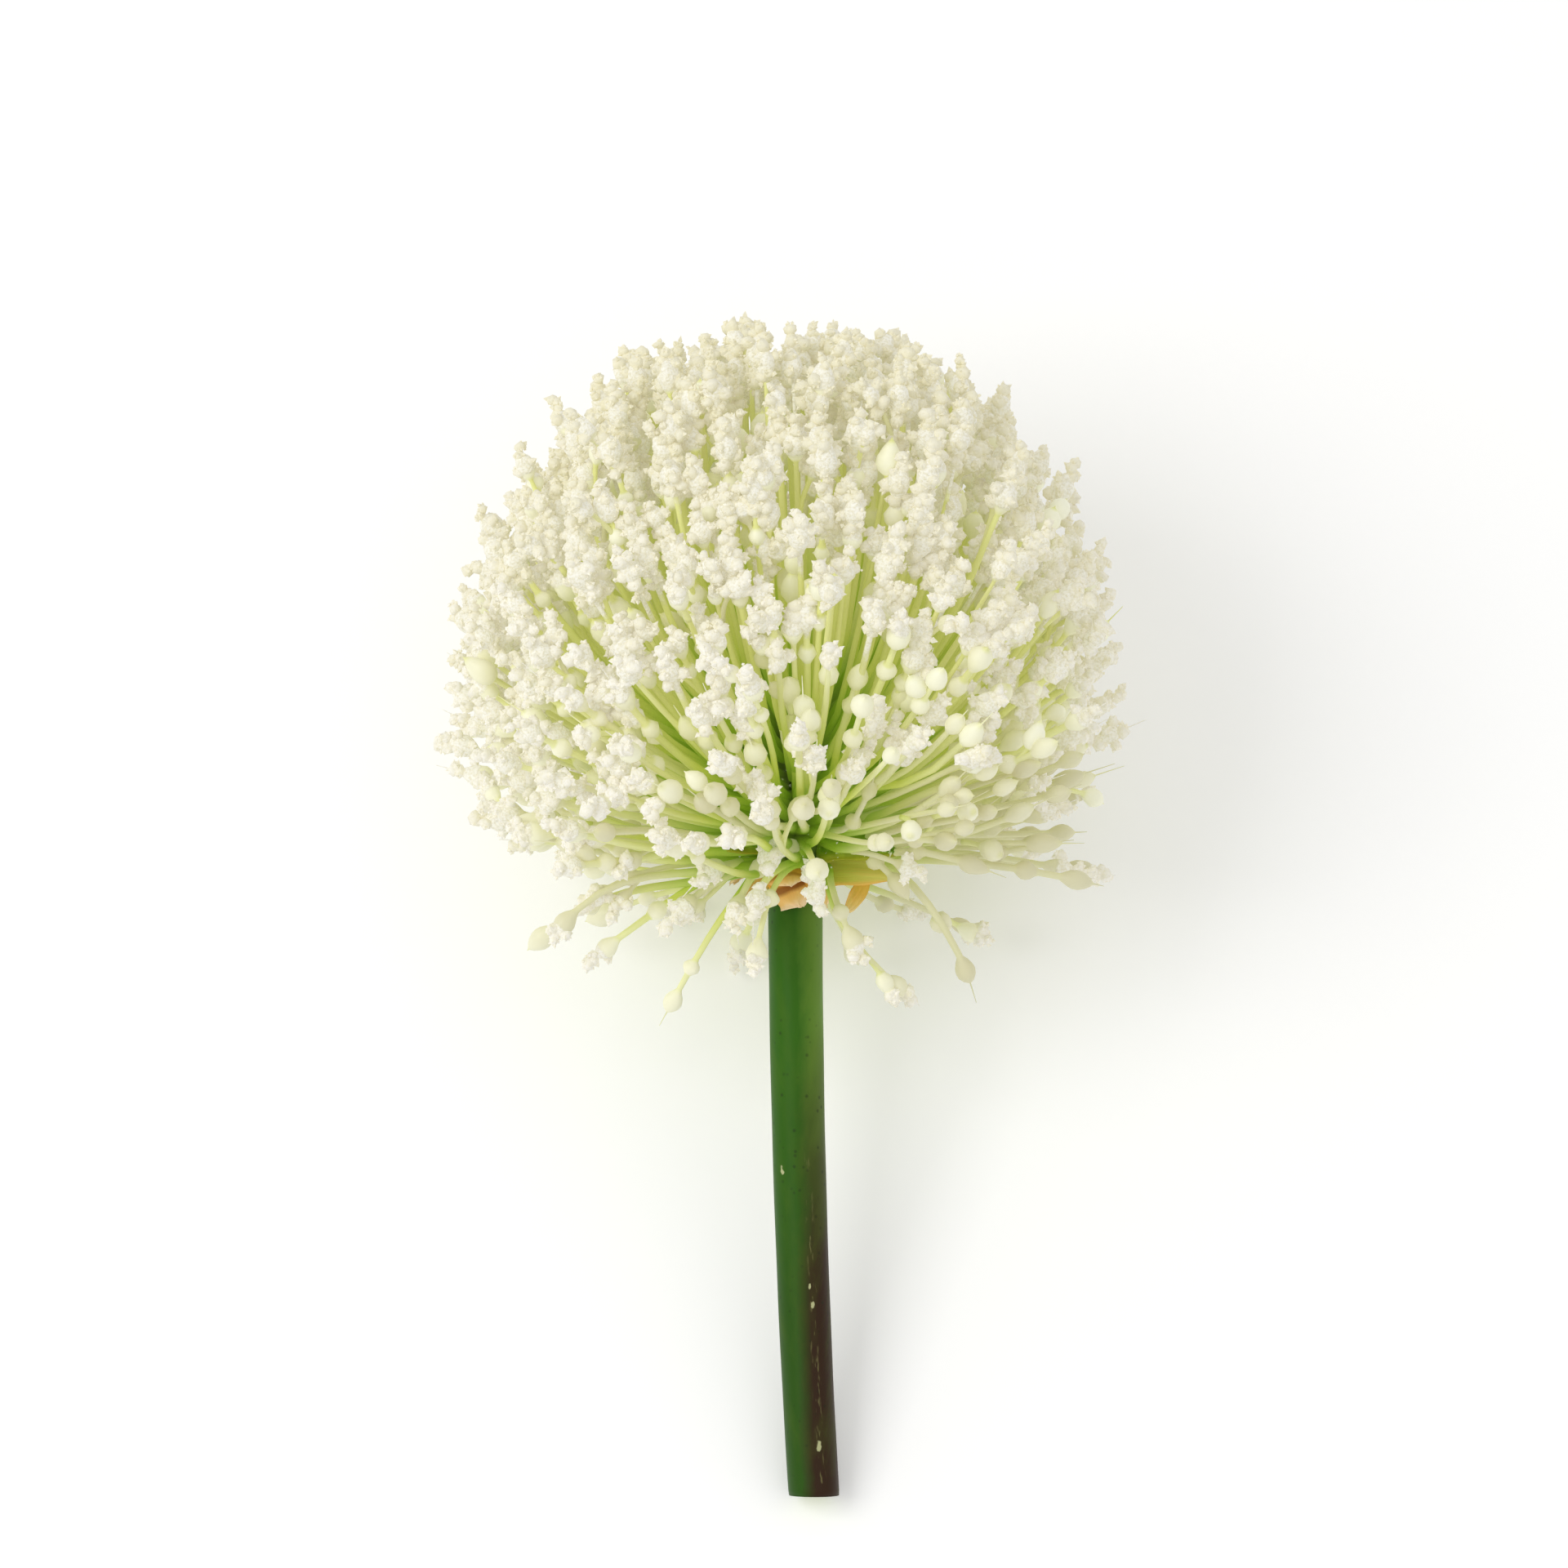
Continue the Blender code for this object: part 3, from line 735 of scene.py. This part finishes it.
def stem_finish():
    """Satin green skin, a lighter olive on its right as a painted highlight, that turns purplish brown on
    its right towards the cut, with dots and flecks.

    along runs from 0 at the top to 1 at the cut, around from 0 at the left to 1 at the right, and
    pith from 0 on the skin to 1 in the middle of the cut face. Fine streaks run lengthwise, and a
    broken line of dashes marks where the brown begins.
    """
    skin = Finish("stem_skin", specular=0.14)
    along, around, pith = skin.attributes("along", "around", "pith")
    streak = skin.noise(320.0, 4.0, skin.vectors("MULTIPLY", skin.place(), (1, 0.15, 1)))
    cloud = skin.noise(60.0, 3.0)
    turn = around + (streak - 0.5) * 0.3
    # Painted highlight: the green turns a lighter olive towards the right, where the light falls.
    green_with_painted_highlight = skin.mix(skin.steps(turn, 0.5, 0.9), srgb(50, 98, 12), srgb(100, 136, 48))
    spread = skin.steps(along, 0.55, 1.0, 0.0, 0.2)
    brown = skin.mix(skin.steps(turn + spread, 0.42, 0.7), srgb(44, 82, 14), srgb(52, 34, 18))
    turned = skin.steps(along + (cloud - 0.5) * 0.25 + around * 0.12, 0.32, 0.72)
    colour = skin.mix(turned, green_with_painted_highlight, brown)
    colour = skin.mix(skin.steps(streak, 0.45, 0.75, 0.0, 0.22), colour, srgb(92, 118, 34))
    aside = skin.node("Math", {"operation": "ABSOLUTE"}, {0: around - 0.665})
    dashes = skin.steps(aside, 0.02, 0.1, 1.0, 0.0) * skin.steps(along, 0.42, 0.5)
    broken = skin.node("CombineXYZ", {}, {0: along * 34.0, 1: around * 16.0})
    dashes = dashes * skin.steps(skin.noise(1.0, 2.0, broken), 0.56, 0.7, 0.0, 0.5)
    colour = skin.mix(dashes, colour, srgb(150, 146, 92))
    spots = {"Vector": skin.place(), "Scale": 560.0}
    dots = skin.node("TexVoronoi", {"feature": "F1"}, spots, "Distance")
    dotted = skin.steps(dots, 0.1, 0.2, 0.5, 0.0) * skin.steps(cloud, 0.45, 0.6)
    colour = skin.mix(dotted, colour, srgb(28, 36, 14))
    for height, turn_degrees, length in STEM_FLECKS:
        colour = skin.mix(stem_fleck(skin, height, turn_degrees, length), colour, srgb(186, 188, 138))
    pithy = [(0.0, srgb(70, 100, 30)), (0.2, srgb(168, 188, 108)), (0.55, srgb(222, 224, 178))]
    relief = streak + skin.noise(900.0, 2.0) * 0.5
    return skin.painted(
        skin.mix(skin.steps(pith, 0.0, 0.02), colour, skin.ramp(pith, pithy)),
        {
            "Roughness": skin.steps(streak, 0.3, 0.7, 0.4, 0.52),
            "Normal": skin.bump(relief, 0.00012, 0.4),
        },
    )


def stem_fleck(skin, height, turn_degrees, length):
    """A ragged scar of a length on the stem: 0.9 within it and 0 away from its middle."""
    turn = math.radians(turn_degrees)
    share = (RECEPTACLE_BOTTOM - height) / (RECEPTACLE_BOTTOM - STEM_CUT)
    radius = STEM_TOP_RADIUS + (STEM_CUT_RADIUS - STEM_TOP_RADIUS) * share
    side = np.array([math.cos(turn), math.sin(turn), 0]) * radius
    middle = lay_down(side + [AXIS_X + STEM_BOW * share**2, 0, height])
    squeezed = skin.vectors("MULTIPLY", skin.from_point(middle), (3, 1, 3))
    away = skin.vectors("LENGTH", squeezed, output="Value")
    ragged = away + (skin.noise(1500.0, 1.0) - 0.5) * (0.9 * length)
    return skin.steps(ragged, 0.45 * length, 0.65 * length, 0.9, 0.0)


def receptacle_finish():
    """Dark green, rough tissue with pale scurf."""
    skin = Finish("receptacle_skin", roughness=0.7, specular=0.3)
    cloud = skin.noise(300.0, 4.0)
    colour = skin.mix(skin.steps(cloud, 0.35, 0.7), srgb(84, 116, 34), srgb(138, 164, 62))
    colour = skin.mix(skin.steps(skin.noise(900.0), 0.62, 0.7, 0.0, 0.6), colour, srgb(196, 204, 150))
    return skin.painted(colour, {"Normal": skin.bump(cloud, 0.0006, 0.8)})


def bract_finish():
    """Dry papery sheath: orange tan with brown folds, darkened by painted shade in their creases, paler at
    its torn tip, and partly still green.

    unripe runs from 0 where it is dry to 1 where it is still yellowish, and at 2 it is a green leaf
    with white specks. Veins run along it.
    """
    # Painted light: the paper glows faintly in its own colour, as the florets do, which brightens it in the
    # shade under the ball.
    paper = Finish("papery_bract", roughness=0.6, specular=0.25, glow=FLORET_GLOW)
    along, across, unripe = paper.attributes("along", "across", "unripe")
    lengthwise = paper.node("CombineXYZ", {}, {0: across * 26.0, 1: along * 2.5})
    vein = paper.noise(1.0, 3.0, lengthwise)
    cloud = paper.noise(420.0)
    dry = paper.ramp(
        cloud * 0.3 + along * 0.65,
        [
            (0.15, srgb(224, 166, 44)),
            (0.45, srgb(216, 158, 62)),
            (0.66, srgb(228, 186, 112)),
            (0.85, srgb(242, 218, 186)),
        ],
    )
    fresh = paper.mix(paper.steps(along, 0.35, 1.0), srgb(176, 184, 70), srgb(206, 200, 100))
    fresh = paper.mix(paper.steps(across, 0.04, 0.18, 1.0, 0.0), fresh, srgb(228, 186, 90))
    colour = paper.mix(unripe + (cloud - 0.5) * 0.2, dry, fresh)
    colour = paper.mix(paper.steps(vein, 0.5, 0.72, 0.0, 0.3), colour, srgb(206, 146, 60))
    leaf = paper.mix(paper.steps(cloud, 0.35, 0.7), srgb(88, 126, 20), srgb(134, 170, 34))
    leaf = paper.mix(paper.steps(across, 0.0, 0.4, 0.7, 0.0), leaf, srgb(172, 160, 44))
    leaf = paper.mix(paper.steps(paper.noise(1700.0, 2.0), 0.64, 0.7, 0.0, 0.9), leaf, srgb(228, 232, 204))
    colour = paper.mix(paper.steps(unripe, 1.2, 1.8), colour, leaf)
    # A dark brown band across each dry tongue: partly the brown of its fold, partly painted shade in the
    # crease.
    fold_and_shade = paper.steps(along + (cloud - 0.5) * 0.1, 0.32, 0.42) * paper.steps(along, 0.54, 0.64, 1.0, 0.0)
    colour = paper.mix(fold_and_shade * paper.steps(unripe, 0.0, 0.2, 0.85, 0.0), colour, srgb(124, 70, 22))
    return paper.painted(colour, {"Normal": paper.bump(vein, 0.0002, 0.5)})


def add_object(name, data):
    """An object of that mesh, light or camera, linked to the scene."""
    made = bpy.data.objects.new(name, data)
    bpy.context.scene.collection.objects.link(made)
    return made


def make_piece(name, part, material, nodes=(), flat_from=None):
    """A mesh piece of the lying flower, with its attributes, that stands for nodes of the model.

    Its faces are smooth, apart from those from the number flat_from on.
    """
    points, faces, attributes = part["points"], part["faces"], part["attributes"]
    mesh = bpy.data.meshes.new(name)
    corners = np.concatenate([each.ravel() for each in faces])
    sizes = np.concatenate([np.full(len(each), each.shape[1]) for each in faces])
    mesh.vertices.add(len(points))
    mesh.vertices.foreach_set("co", lay_down(points).ravel())
    mesh.loops.add(len(corners))
    mesh.loops.foreach_set("vertex_index", corners)
    mesh.polygons.add(len(sizes))
    mesh.polygons.foreach_set("loop_start", np.concatenate([[0], np.cumsum(sizes)[:-1]]))
    mesh.polygons.foreach_set("use_smooth", np.arange(len(sizes)) < (flat_from or len(sizes)))
    for key, values in attributes.items():
        layer = mesh.attributes.new(key, "FLOAT", "POINT")
        layer.data.foreach_set("value", values.astype(float))
    mesh.update(calc_edges=True)
    mesh.validate()
    mesh.materials.append(material)
    piece = add_object(name, mesh)
    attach(piece, "root")
    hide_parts(*nodes)
    return piece


def joined(parts):
    """Several parts as one: their points and attributes end to end, and their faces renumbered."""
    points, faces, count = [], [], 0
    for part in parts:
        flat = part["points"].reshape(-1, 3)
        points.append(flat)
        faces += [face + count for face in part["faces"]]
        count += len(flat)
    keys = parts[0].get("attributes", ())
    values = {key: np.concatenate([part["attributes"][key] for part in parts]) for key in keys}
    return {"points": np.concatenate(points), "faces": faces, "attributes": values}


def pick(values, mask):
    return {key: array[mask] for key, array in values.items()}


def side_twigs(grown, sprigs, random):
    """Sprigs of one bud that branch off the outer part of some sprigs, ready to grow.

    Also returns how far along its sprig each of them starts, as a share.
    """
    bearing = np.flatnonzero(random.random(len(sprigs["tip"])) < sprigs["twig_chance"])
    count = len(bearing)
    back = random.uniform(*TWIG_BACK, count) * MM
    root, _, ahead = on_sprig(grown, bearing, back)
    sideways = unit(np.cross(ahead, random.normal(0, 1, (count, 3))))
    length = random.uniform(*TWIG_LENGTH, count) * MM
    spread = random.uniform(0.3, 0.75, count)[:, None]
    tip = root + unit(ahead + sideways * spread) * length[:, None]
    size = random.uniform(0.72, 1.02, count)
    twigs = pick(sprigs, bearing)
    twigs |= {
        "root": root,
        "tip": lifted(tip, BUD_RADIUS),
        "bend": root + (ahead + sideways * 0.15) * (0.45 * length)[:, None],
        "bud_length": np.minimum(BUD_LENGTH * size, length * 0.75),
        "bud_radius": BUD_RADIUS * size,
        "bud_lean": random.uniform(0.75, 1.5, count),
        "beaded": np.zeros(count, bool),
        "wave": np.zeros((count, 2)),
        "thick": np.full(count, 0.7),
        "foot": np.zeros(count),
        "wisp": np.full(count, SHORT_WISP),
        "tone": random.random(count),
        "coat_back": twigs["coat_back"] * random.uniform(0.3, 0.7, count),
    }
    return twigs, 1 - back / np.linalg.norm(sprigs["tip"] - sprigs["root"], axis=1)[bearing]


def dress(sprigs, detail, random):
    """Adds to sprigs the sizes of their parts, their coats and their tones.

    They change with the angle from the ball's top, in the window and at the lower right, where the
    sprigs are smaller, barer and browner. Those deep inside the ball have no coat.
    """
    count = len(sprigs["tip"])
    droops = sprigs["spray"] >= BALL_SPRAYS
    polar = np.degrees(np.arccos(sprigs["aim"][:, 2]))
    window = window_nearness(sprigs["aim"])
    lower_right = np.clip(sprigs["aim"][:, 0] * 2, 0, 1) * np.clip((polar - 95) / 15, 0, 1)
    size = random.uniform(0.85, 1.12, count)
    sprigs["bud_length"] = BUD_LENGTH * size
    sprigs["bud_radius"] = BUD_RADIUS * size * (1 - 0.18 * lower_right)
    sprigs["bud_lean"] = random.uniform(0.65, 1.6, count)
    bead = random.uniform(0.75, 1.0, count)
    beaded = np.interp(polar, *BEADED_SHARE) * (1 - 0.5 * window) * (1 - 0.6 * lower_right)
    sprigs["beaded"] = random.random(count) < beaded
    sprigs["bead_length"] = BEAD_LENGTH * bead
    sprigs["bead_radius"] = BUD_RADIUS * 0.94 * bead
    sprigs["bead_lean"] = random.uniform(0.75, 1.4, count)
    sprigs["gap"] = random.uniform(0.1, 4.5, count) * MM * np.where(droops, 1.5, 1)
    sprigs["thick"] = random.uniform(0.8, 1.12, count)
    sprigs["foot"] = 0.8 * np.clip((polar - 92) / 20, 0, 1)
    sprigs["phase"] = random.uniform(0, 6, count)
    sprigs["dents"] = random.normal(0, 0.02, (count, MOST_STATIONS, MOST_SIDES))
    sprigs["wave"] = random.normal(0, 0.6, (count, 2)) * MM
    long_wisp = random.random(count) < np.interp(polar, *LONG_WISP_SHARE)
    sprigs["wisp"] = np.where(long_wisp, random.uniform(*LONG_WISP, count) * MM, SHORT_WISP)
    sprigs["tip"] = lifted(sprigs["tip"], sprigs["bud_radius"])
    length = np.linalg.norm(sprigs["tip"] - sprigs["root"], axis=1)
    rise = PEDICEL_RISE if detail == "fine" else random.uniform(0.3, 0.5, count)
    sprigs["bend"] = sprigs["root"] + sprigs["outward"] * (rise * length)[:, None]
    tone = random.beta(2, 3, count) * 0.7 + np.interp(polar, *KHAKI) * 0.6 + lower_right * 0.3
    chance = np.interp(polar, *COATED_SHARE) * (1 - 0.35 * window) * (1 - 0.6 * lower_right)
    full = np.interp(polar, *COAT_MM) * MM * random.uniform(0.6, 1.25, count)
    short = random.random(count) < np.interp(polar, *SHORT_COAT_SHARE)
    full = np.where(short, full * 0.45, full)
    deep = np.linalg.norm(sprigs["tip"], axis=1) < 0.8 * BALL_RADIUS
    sprigs["coat_back"] = np.where((random.random(count) < chance) & ~deep, full, 0)
    sprigs["tone"] = np.clip(tone, np.where(deep, 0.4, 0), 1)
    sprigs["dents"] *= np.where(sprigs["coat_back"] > 0, 2, 1)[:, None, None]
    sprigs["pale"] = np.clip(1 - 3.5 * window, 0, 1) * np.interp(polar, *PALENESS)
    sprigs["twig_chance"] = np.where(droops, 0.2, np.interp(polar, *TWIG_SHARE))
    return sprigs


def beyond_tips(count, random):
    """How far the coats of sprigs reach beyond their tips: mostly little, and a few of them far."""
    even, rare = random.random((2, count))
    return (0.3 + 0.9 * even + 2.2 * rare**3) * MM


def make_sprays():
    """The sprays: pedicels with buds and side buds in one piece, and the crumbs that coat them."""
    random = np.random.default_rng(SEED + 1)
    floret, crumb = floret_finish(), crumb_finish()
    drooping = drooping_sprigs()
    passed, coat_back = drooping.pop("passed"), drooping.pop("coat")
    kinds = [
        ("fine", dress(model_sprigs(), "fine", random)),
        ("plain", dress(filler_sprigs(random), "plain", random)),
        ("fine", dress(drooping, "fine", random)),
    ]
    drooping["bend"] = 2 * passed - (drooping["root"] + drooping["tip"]) / 2
    drooping["coat_back"] = coat_back
    for spray in range(BALL_SPRAYS + DROOPING_SPRAYS):
        if spray < BALL_SPRAYS:
            name = f"floret_spray_{spray + 1:02d}"
        else:
            name = f"drooping_spray_{spray - BALL_SPRAYS + 1:02d}"
        parts, lumps, chips = [], [], []
        for (detail, all_sprigs), beaded in itertools.product(kinds, (True, False)):
            here = (all_sprigs["spray"] == spray) & (all_sprigs["beaded"] == beaded)
            if not here.any():
                continue
            sprigs = pick(all_sprigs, here)
            grown = grow(sprigs, detail)
            twigs, twig_start = side_twigs(grown, sprigs, random)
            batches = [(grown, sprigs, np.zeros(len(sprigs["tip"])))]
            if len(twigs["tip"]):
                batches.append((grow(twigs, "twig"), twigs, twig_start))
            for part, source, start in batches:
                parts.append(part | {"attributes": sprig_attributes(part, source, start)})
                beyond = beyond_tips(len(source["tip"]), random)
                large, small = coat(part, source["coat_back"], beyond, random)
                lumps.append(large)
                chips.append(small)
            chips.append(scurf(grown, random))
        make_piece(f"{name}_sprigs", joined(parts), floret, [name])
        lumps, chips = ([np.concatenate(column) for column in zip(*made)] for made in (lumps, chips))
        lumps = grains(*lumps, lump_shape(), LUMP_ROUGHNESS, random)
        crumbs = joined([lumps, grains(*chips, chip_shape(), CHIP_ROUGHNESS, random)])
        make_piece(f"{name}_crumbs", crumbs, crumb, flat_from=len(crumbs["faces"][0]))


def scurf(grown, random):
    """Specks on the feet of pedicels near the stem: their centres, outward directions and sizes."""
    feet = np.argwhere((grown["along"] < 0.2) & (random.random(grown["along"].shape) < SPECK_SHARE))
    centres = grown["points"][feet[:, 0], feet[:, 1]]
    low = centres[:, 2] < SPECKS_BELOW
    return centres[low], unit(random.normal(0, 1, (low.sum(), 3))), random.uniform(0.1, 0.26, low.sum()) * MM


def sprig_attributes(grown, sprigs, start):
    """What the floret material reads at each point, flattened."""
    sides, rows = grown["sides"], grown["along"].shape[1]
    reach, start = sprigs["coat_back"][:, None], start[:, None]
    coated = np.where(reach > 0, np.clip((reach - grown["to_tip"]) / (1.5 * MM) + 0.5, 0, 1), 0)
    return {
        "along": (start + (1 - start) * grown["along"]).ravel(),
        "bulge": grown["bulge"].ravel(),
        "coated": along_sweep(coated, sides).ravel(),
        "tone": np.repeat(sprigs["tone"], rows),
        "pale": np.repeat(sprigs["pale"], rows),
    }


def turned(points, attributes):
    """A turned surface through rings of points, (stations, sides, 3), closed over both ends."""
    stations, sides = points.shape[:2]
    quads = np.roll(grid_quads(stations, sides, closed=True)[:, ::-1], 1, axis=1)
    first = np.arange(sides)[None]
    last = (stations - 1) * sides + first[:, ::-1]
    values = {key: np.broadcast_to(value, (stations, sides)).ravel() for key, value in attributes.items()}
    return {"points": points.reshape(-1, 3), "faces": [quads, first, last], "attributes": values}


def make_stem():
    """The stem: rings of a gently uneven radius along a parabola, closed by its cut face."""
    top = RECEPTACLE_BOTTOM + 0.5 * MM
    skin = np.tile([1.0, 0.0, 0.0], (STEM_STATIONS - 1, 1))
    inward, pith, sunk = np.concatenate([skin, CUT_RINGS]).T
    along = np.concatenate([np.linspace(0, 1, STEM_STATIONS), np.ones(len(CUT_RINGS) - 1)])
    turn = np.linspace(0, 2 * np.pi, STEM_SIDES, endpoint=False)
    radius = STEM_TOP_RADIUS + (STEM_CUT_RADIUS - STEM_TOP_RADIUS) * along[:, None]
    radius = radius * (1 + 0.006 * np.sin(3 * turn + 5 * along[:, None]))
    radius = radius * (1 + 0.004 * np.sin(9 * np.pi * along[:, None] + 2 * turn)) * inward[:, None]
    height = top + along * (STEM_CUT - top) + sunk * MM
    middle = np.stack([AXIS_X + STEM_BOW * along**2, np.zeros_like(along), height], axis=-1)
    ring = np.stack([np.cos(turn), np.sin(turn), np.zeros(STEM_SIDES)], axis=-1)
    values = {"along": along[:, None], "around": 0.5 + 0.5 * np.cos(turn), "pith": pith[:, None]}
    stem = turned(middle[:, None] + ring * radius[..., None], values)
    make_piece("stem_skin", stem, stem_finish(), ["stem"])


def make_receptacle():
    """The receptacle, turned from its outline with shallow bumps where pedicels rise."""
    stations, sides = 36, 52
    radii, heights = receptacle_outline(1 - np.linspace(0, 1, stations) ** 1.4)
    radii[0] = CLOSED_END
    turn = np.linspace(0, 2 * np.pi, sides, endpoint=False)
    reach = radii[:, None] * (1 + 0.02 * np.sin(13 * turn + heights[:, None] / (0.7 * MM)))
    level = np.broadcast_to(heights[:, None], reach.shape)
    points = np.stack([np.cos(turn) * reach, np.sin(turn) * reach, level], axis=-1) + [AXIS_X, 0, 0]
    make_piece("receptacle_skin", turned(points, {}), receptacle_finish(), ["receptacle"])


PAPER_THICKNESS = 0.2 * MM

# Each tongue of a bract: half its width and how far its edges fall back, both in mm, the power of its
# outline, how unripe it is and the ways across it at its foot and at its tip; then the four points of
# its curve in mm
BRACT_TONGUES = {
    "spathe_bract_front": (
        (
            (3.6, 1.3, 4.5, 0.0, (1, 0, 0), (1, 0, -0.5)),
            ((0.6, -4.6, -35.2), (0.8, -7.2, -36.0), (1.4, -5.2, -38.2), (2.3, -6.2, -40.0)),
        ),
        (
            (3.4, 1.6, 6.0, 0.1, (1, 0, 0), (1, 0, -0.1)),
            ((0.6, -4.8, -33.6), (0.7, -7.4, -34.4), (0.9, -8.0, -35.6), (1.2, -7.8, -36.9)),
        ),
        (
            (2.3, 0.6, 3.2, 0.15, (1, 0, 0), (1, 0.4, 0)),
            ((4.2, -4.6, -34.0), (5.4, -6.4, -35.0), (6.2, -5.4, -37.4), (6.6, -5.6, -40.0)),
        ),
    ),
    "spathe_bract_right": (
        (
            (2.7, 0.5, 2.6, 0.9, (0, 0.3, 1), (0.1, 0.1, 1)),
            ((5.4, -3.4, -35.0), (9.0, -6.6, -34.0), (13.6, -8.2, -34.2), (18.6, -7.4, -35.8)),
        ),
        (
            (2.5, 0.4, 2.6, 2.0, (0, 0.3, 1), (0.1, 0.1, 1)),
            ((5.2, -5.0, -31.2), (9.4, -10.6, -30.0), (13.4, -12.4, -30.6), (18.0, -12.0, -31.6)),
        ),
        (
            (1.2, 0.3, 7.0, 0.3, (1, 0, 0.3), (1, 0, 0.3)),
            ((12.6, -7.0, -35.6), (12.6, -7.4, -37.0), (11.4, -7.2, -39.0), (9.9, -6.8, -41.2)),
        ),
    ),
    "spathe_bract_back": (
        (
            (3.8, 1.4, 3.2, 0.3, (-0.79, -0.62, 0), (-0.79, -0.62, 0)),
            ((-1.0, 3.6, -34.2), (-3.5, 6.8, -34.2), (-5.0, 8.7, -37.0), (-5.6, 9.5, -40.8)),
        ),
        (
            (2.0, 0.4, 2.6, 2.0, (0, 0.3, 1), (-0.1, 0.1, 1)),
            ((-1.6, -5.6, -31.0), (-4.4, -10.4, -29.6), (-7.4, -11.8, -30.0), (-11.2, -11.4, -30.8)),
        ),
        (
            (2.6, 0.8, 3.2, 0.2, (0.2, -0.98, 0), (0.2, -0.98, 0.2)),
            ((-2.7, -1.0, -34.0), (-5.0, -1.5, -33.2), (-7.4, -2.0, -34.6), (-8.6, -2.2, -36.4)),
        ),
    ),
}


def bract_tongue(sizes, curve, random):
    """A papery tongue: a cubic Bezier curve swept sideways, ragged and crumpled.

    Its half width falls by a power towards a torn tip, its edges fall back by the square of their
    distance from the middle, and a sum of sines crumples it.
    """
    half_width, fall, power, unripe, foot_across, tip_across = sizes
    rows, columns = 30, 20
    along, across = np.meshgrid(np.linspace(0, 1, rows), np.linspace(-1, 1, columns), indexing="ij")
    first, second, third, last = np.array(curve) * MM
    u = along[..., None]
    middle = (1 - u) ** 3 * first + 3 * u * (1 - u) ** 2 * second
    middle = middle + 3 * u**2 * (1 - u) * third + u**3 * last
    forward = unit(np.gradient(middle, axis=0))
    sideways = np.array(foot_across) * (1 - u) + np.array(tip_across) * u
    sideways = unit(sideways - forward * np.sum(forward * sideways, axis=-1, keepdims=True))
    outward = np.cross(forward, sideways)
    waves = np.zeros_like(along)
    for k in (1, 2, 3, 5, 8):
        height, slant, phase = random.normal(0, 1), random.normal(0, 0.4), random.uniform(0, 6)
        waves += height / k * np.sin(k * (2.1 * across + slant * 3 * along) + phase)
    torn = np.clip(along * (1 + 0.09 * waves * along**2), 0, 1.04)
    half = half_width * MM * np.maximum(1 - 0.98 * torn**power, 0.004) ** 0.7
    half = half * (1 + 0.08 * np.sin(9 * along + 4 * across))
    offset = 0.3 * MM * waves * np.sqrt(along) - fall * MM * across**2
    ragged = 0.35 * MM * waves * along**3
    points = middle + sideways * (across * half)[..., None] + outward * offset[..., None]
    values = {"along": along, "across": (across + 1) / 2, "unripe": np.full(along.shape, unripe)}
    return {
        "points": points + forward * ragged[..., None],
        "faces": (grid_quads(rows, columns, closed=False),),
        "attributes": {key: value.ravel() for key, value in values.items()},
    }


def make_bracts():
    """The papery remains of the sheath round the bud, each of a few tongues."""
    random = np.random.default_rng(SEED + 2)
    paper = bract_finish()
    for name, tongues in BRACT_TONGUES.items():
        bract = joined([bract_tongue(*tongue, random) for tongue in tongues])
        piece = make_piece(f"{name}_paper", bract, paper, [name])
        shell = piece.modifiers.new("thickness", "SOLIDIFY")
        shell.thickness = PAPER_THICKNESS
        shell.offset = 0


def make_floor():
    pale = (0.97, 0.97, 0.965, 1)
    mesh = bpy.data.meshes.new("floor")
    sides = ((-1, -1), (1, -1), (1, 1), (-1, 1))
    mesh.from_pydata([(x * FLOOR_HALF_WIDTH, y * FLOOR_HALF_WIDTH, 0) for x, y in sides], [], [(0, 1, 2, 3)])
    mesh.materials.append(Finish("floor", roughness=0.9, glow=FLOOR_GLOW).painted(pale, {}))
    add_object("floor", mesh)


def area_light(name, azimuth, elevation, distance, size, power):
    """A square light that looks at the middle of the ball from an azimuth and elevation in degrees."""
    light = bpy.data.lights.new(name, "AREA")
    light.size = size
    light.energy = power
    turn, rise = math.radians(azimuth), math.radians(elevation)
    away = np.array([math.sin(turn) * math.cos(rise), -math.cos(turn) * math.cos(rise), math.sin(rise)])
    lamp = add_object(name, light)
    lamp.matrix_world = looking_along(-away, BALL_MIDDLE + away * distance, UP_STEM)


def looking_along(direction, place, up):
    """Matrix of a camera or light at a place, looking along a direction, with up upright in its view."""
    back = unit(-np.asarray(direction, float))
    right = unit(np.cross(up, back))
    above = np.cross(back, right)
    matrix = np.eye(4)
    matrix[:3, :3] = np.stack([right, above, back], axis=1)
    matrix[:3, 3] = place
    return Matrix(matrix.tolist())


def make_light():
    world = bpy.data.worlds.new("studio")
    world.use_nodes = True
    background = world.node_tree.nodes["Background"].inputs
    background["Color"].default_value = (1, 1, 1, 1)
    background["Strength"].default_value = WORLD_STRENGTH
    bpy.context.scene.world = world
    for name, settings in LIGHTS.items():
        area_light(name, *settings)


def make_camera():
    """A long lens on the side that faced the viewer, with the photograph's frame."""
    camera = bpy.data.cameras.new("camera")
    camera.sensor_width = 36
    camera.lens = camera.sensor_width * CAMERA_DISTANCE / FRAME_WIDTH
    holder = add_object("camera", camera)
    target = BALL_MIDDLE + UP_STEM * FRAME_MIDDLE
    holder.matrix_world = looking_along(-TO_VIEWER, target + TO_VIEWER * CAMERA_DISTANCE, UP_STEM)
    bpy.context.scene.camera = holder
    bpy.context.scene.view_settings.view_transform = "Standard"


make_camera()
make_light()
make_floor()
make_stem()
make_receptacle()
make_bracts()
make_sprays()
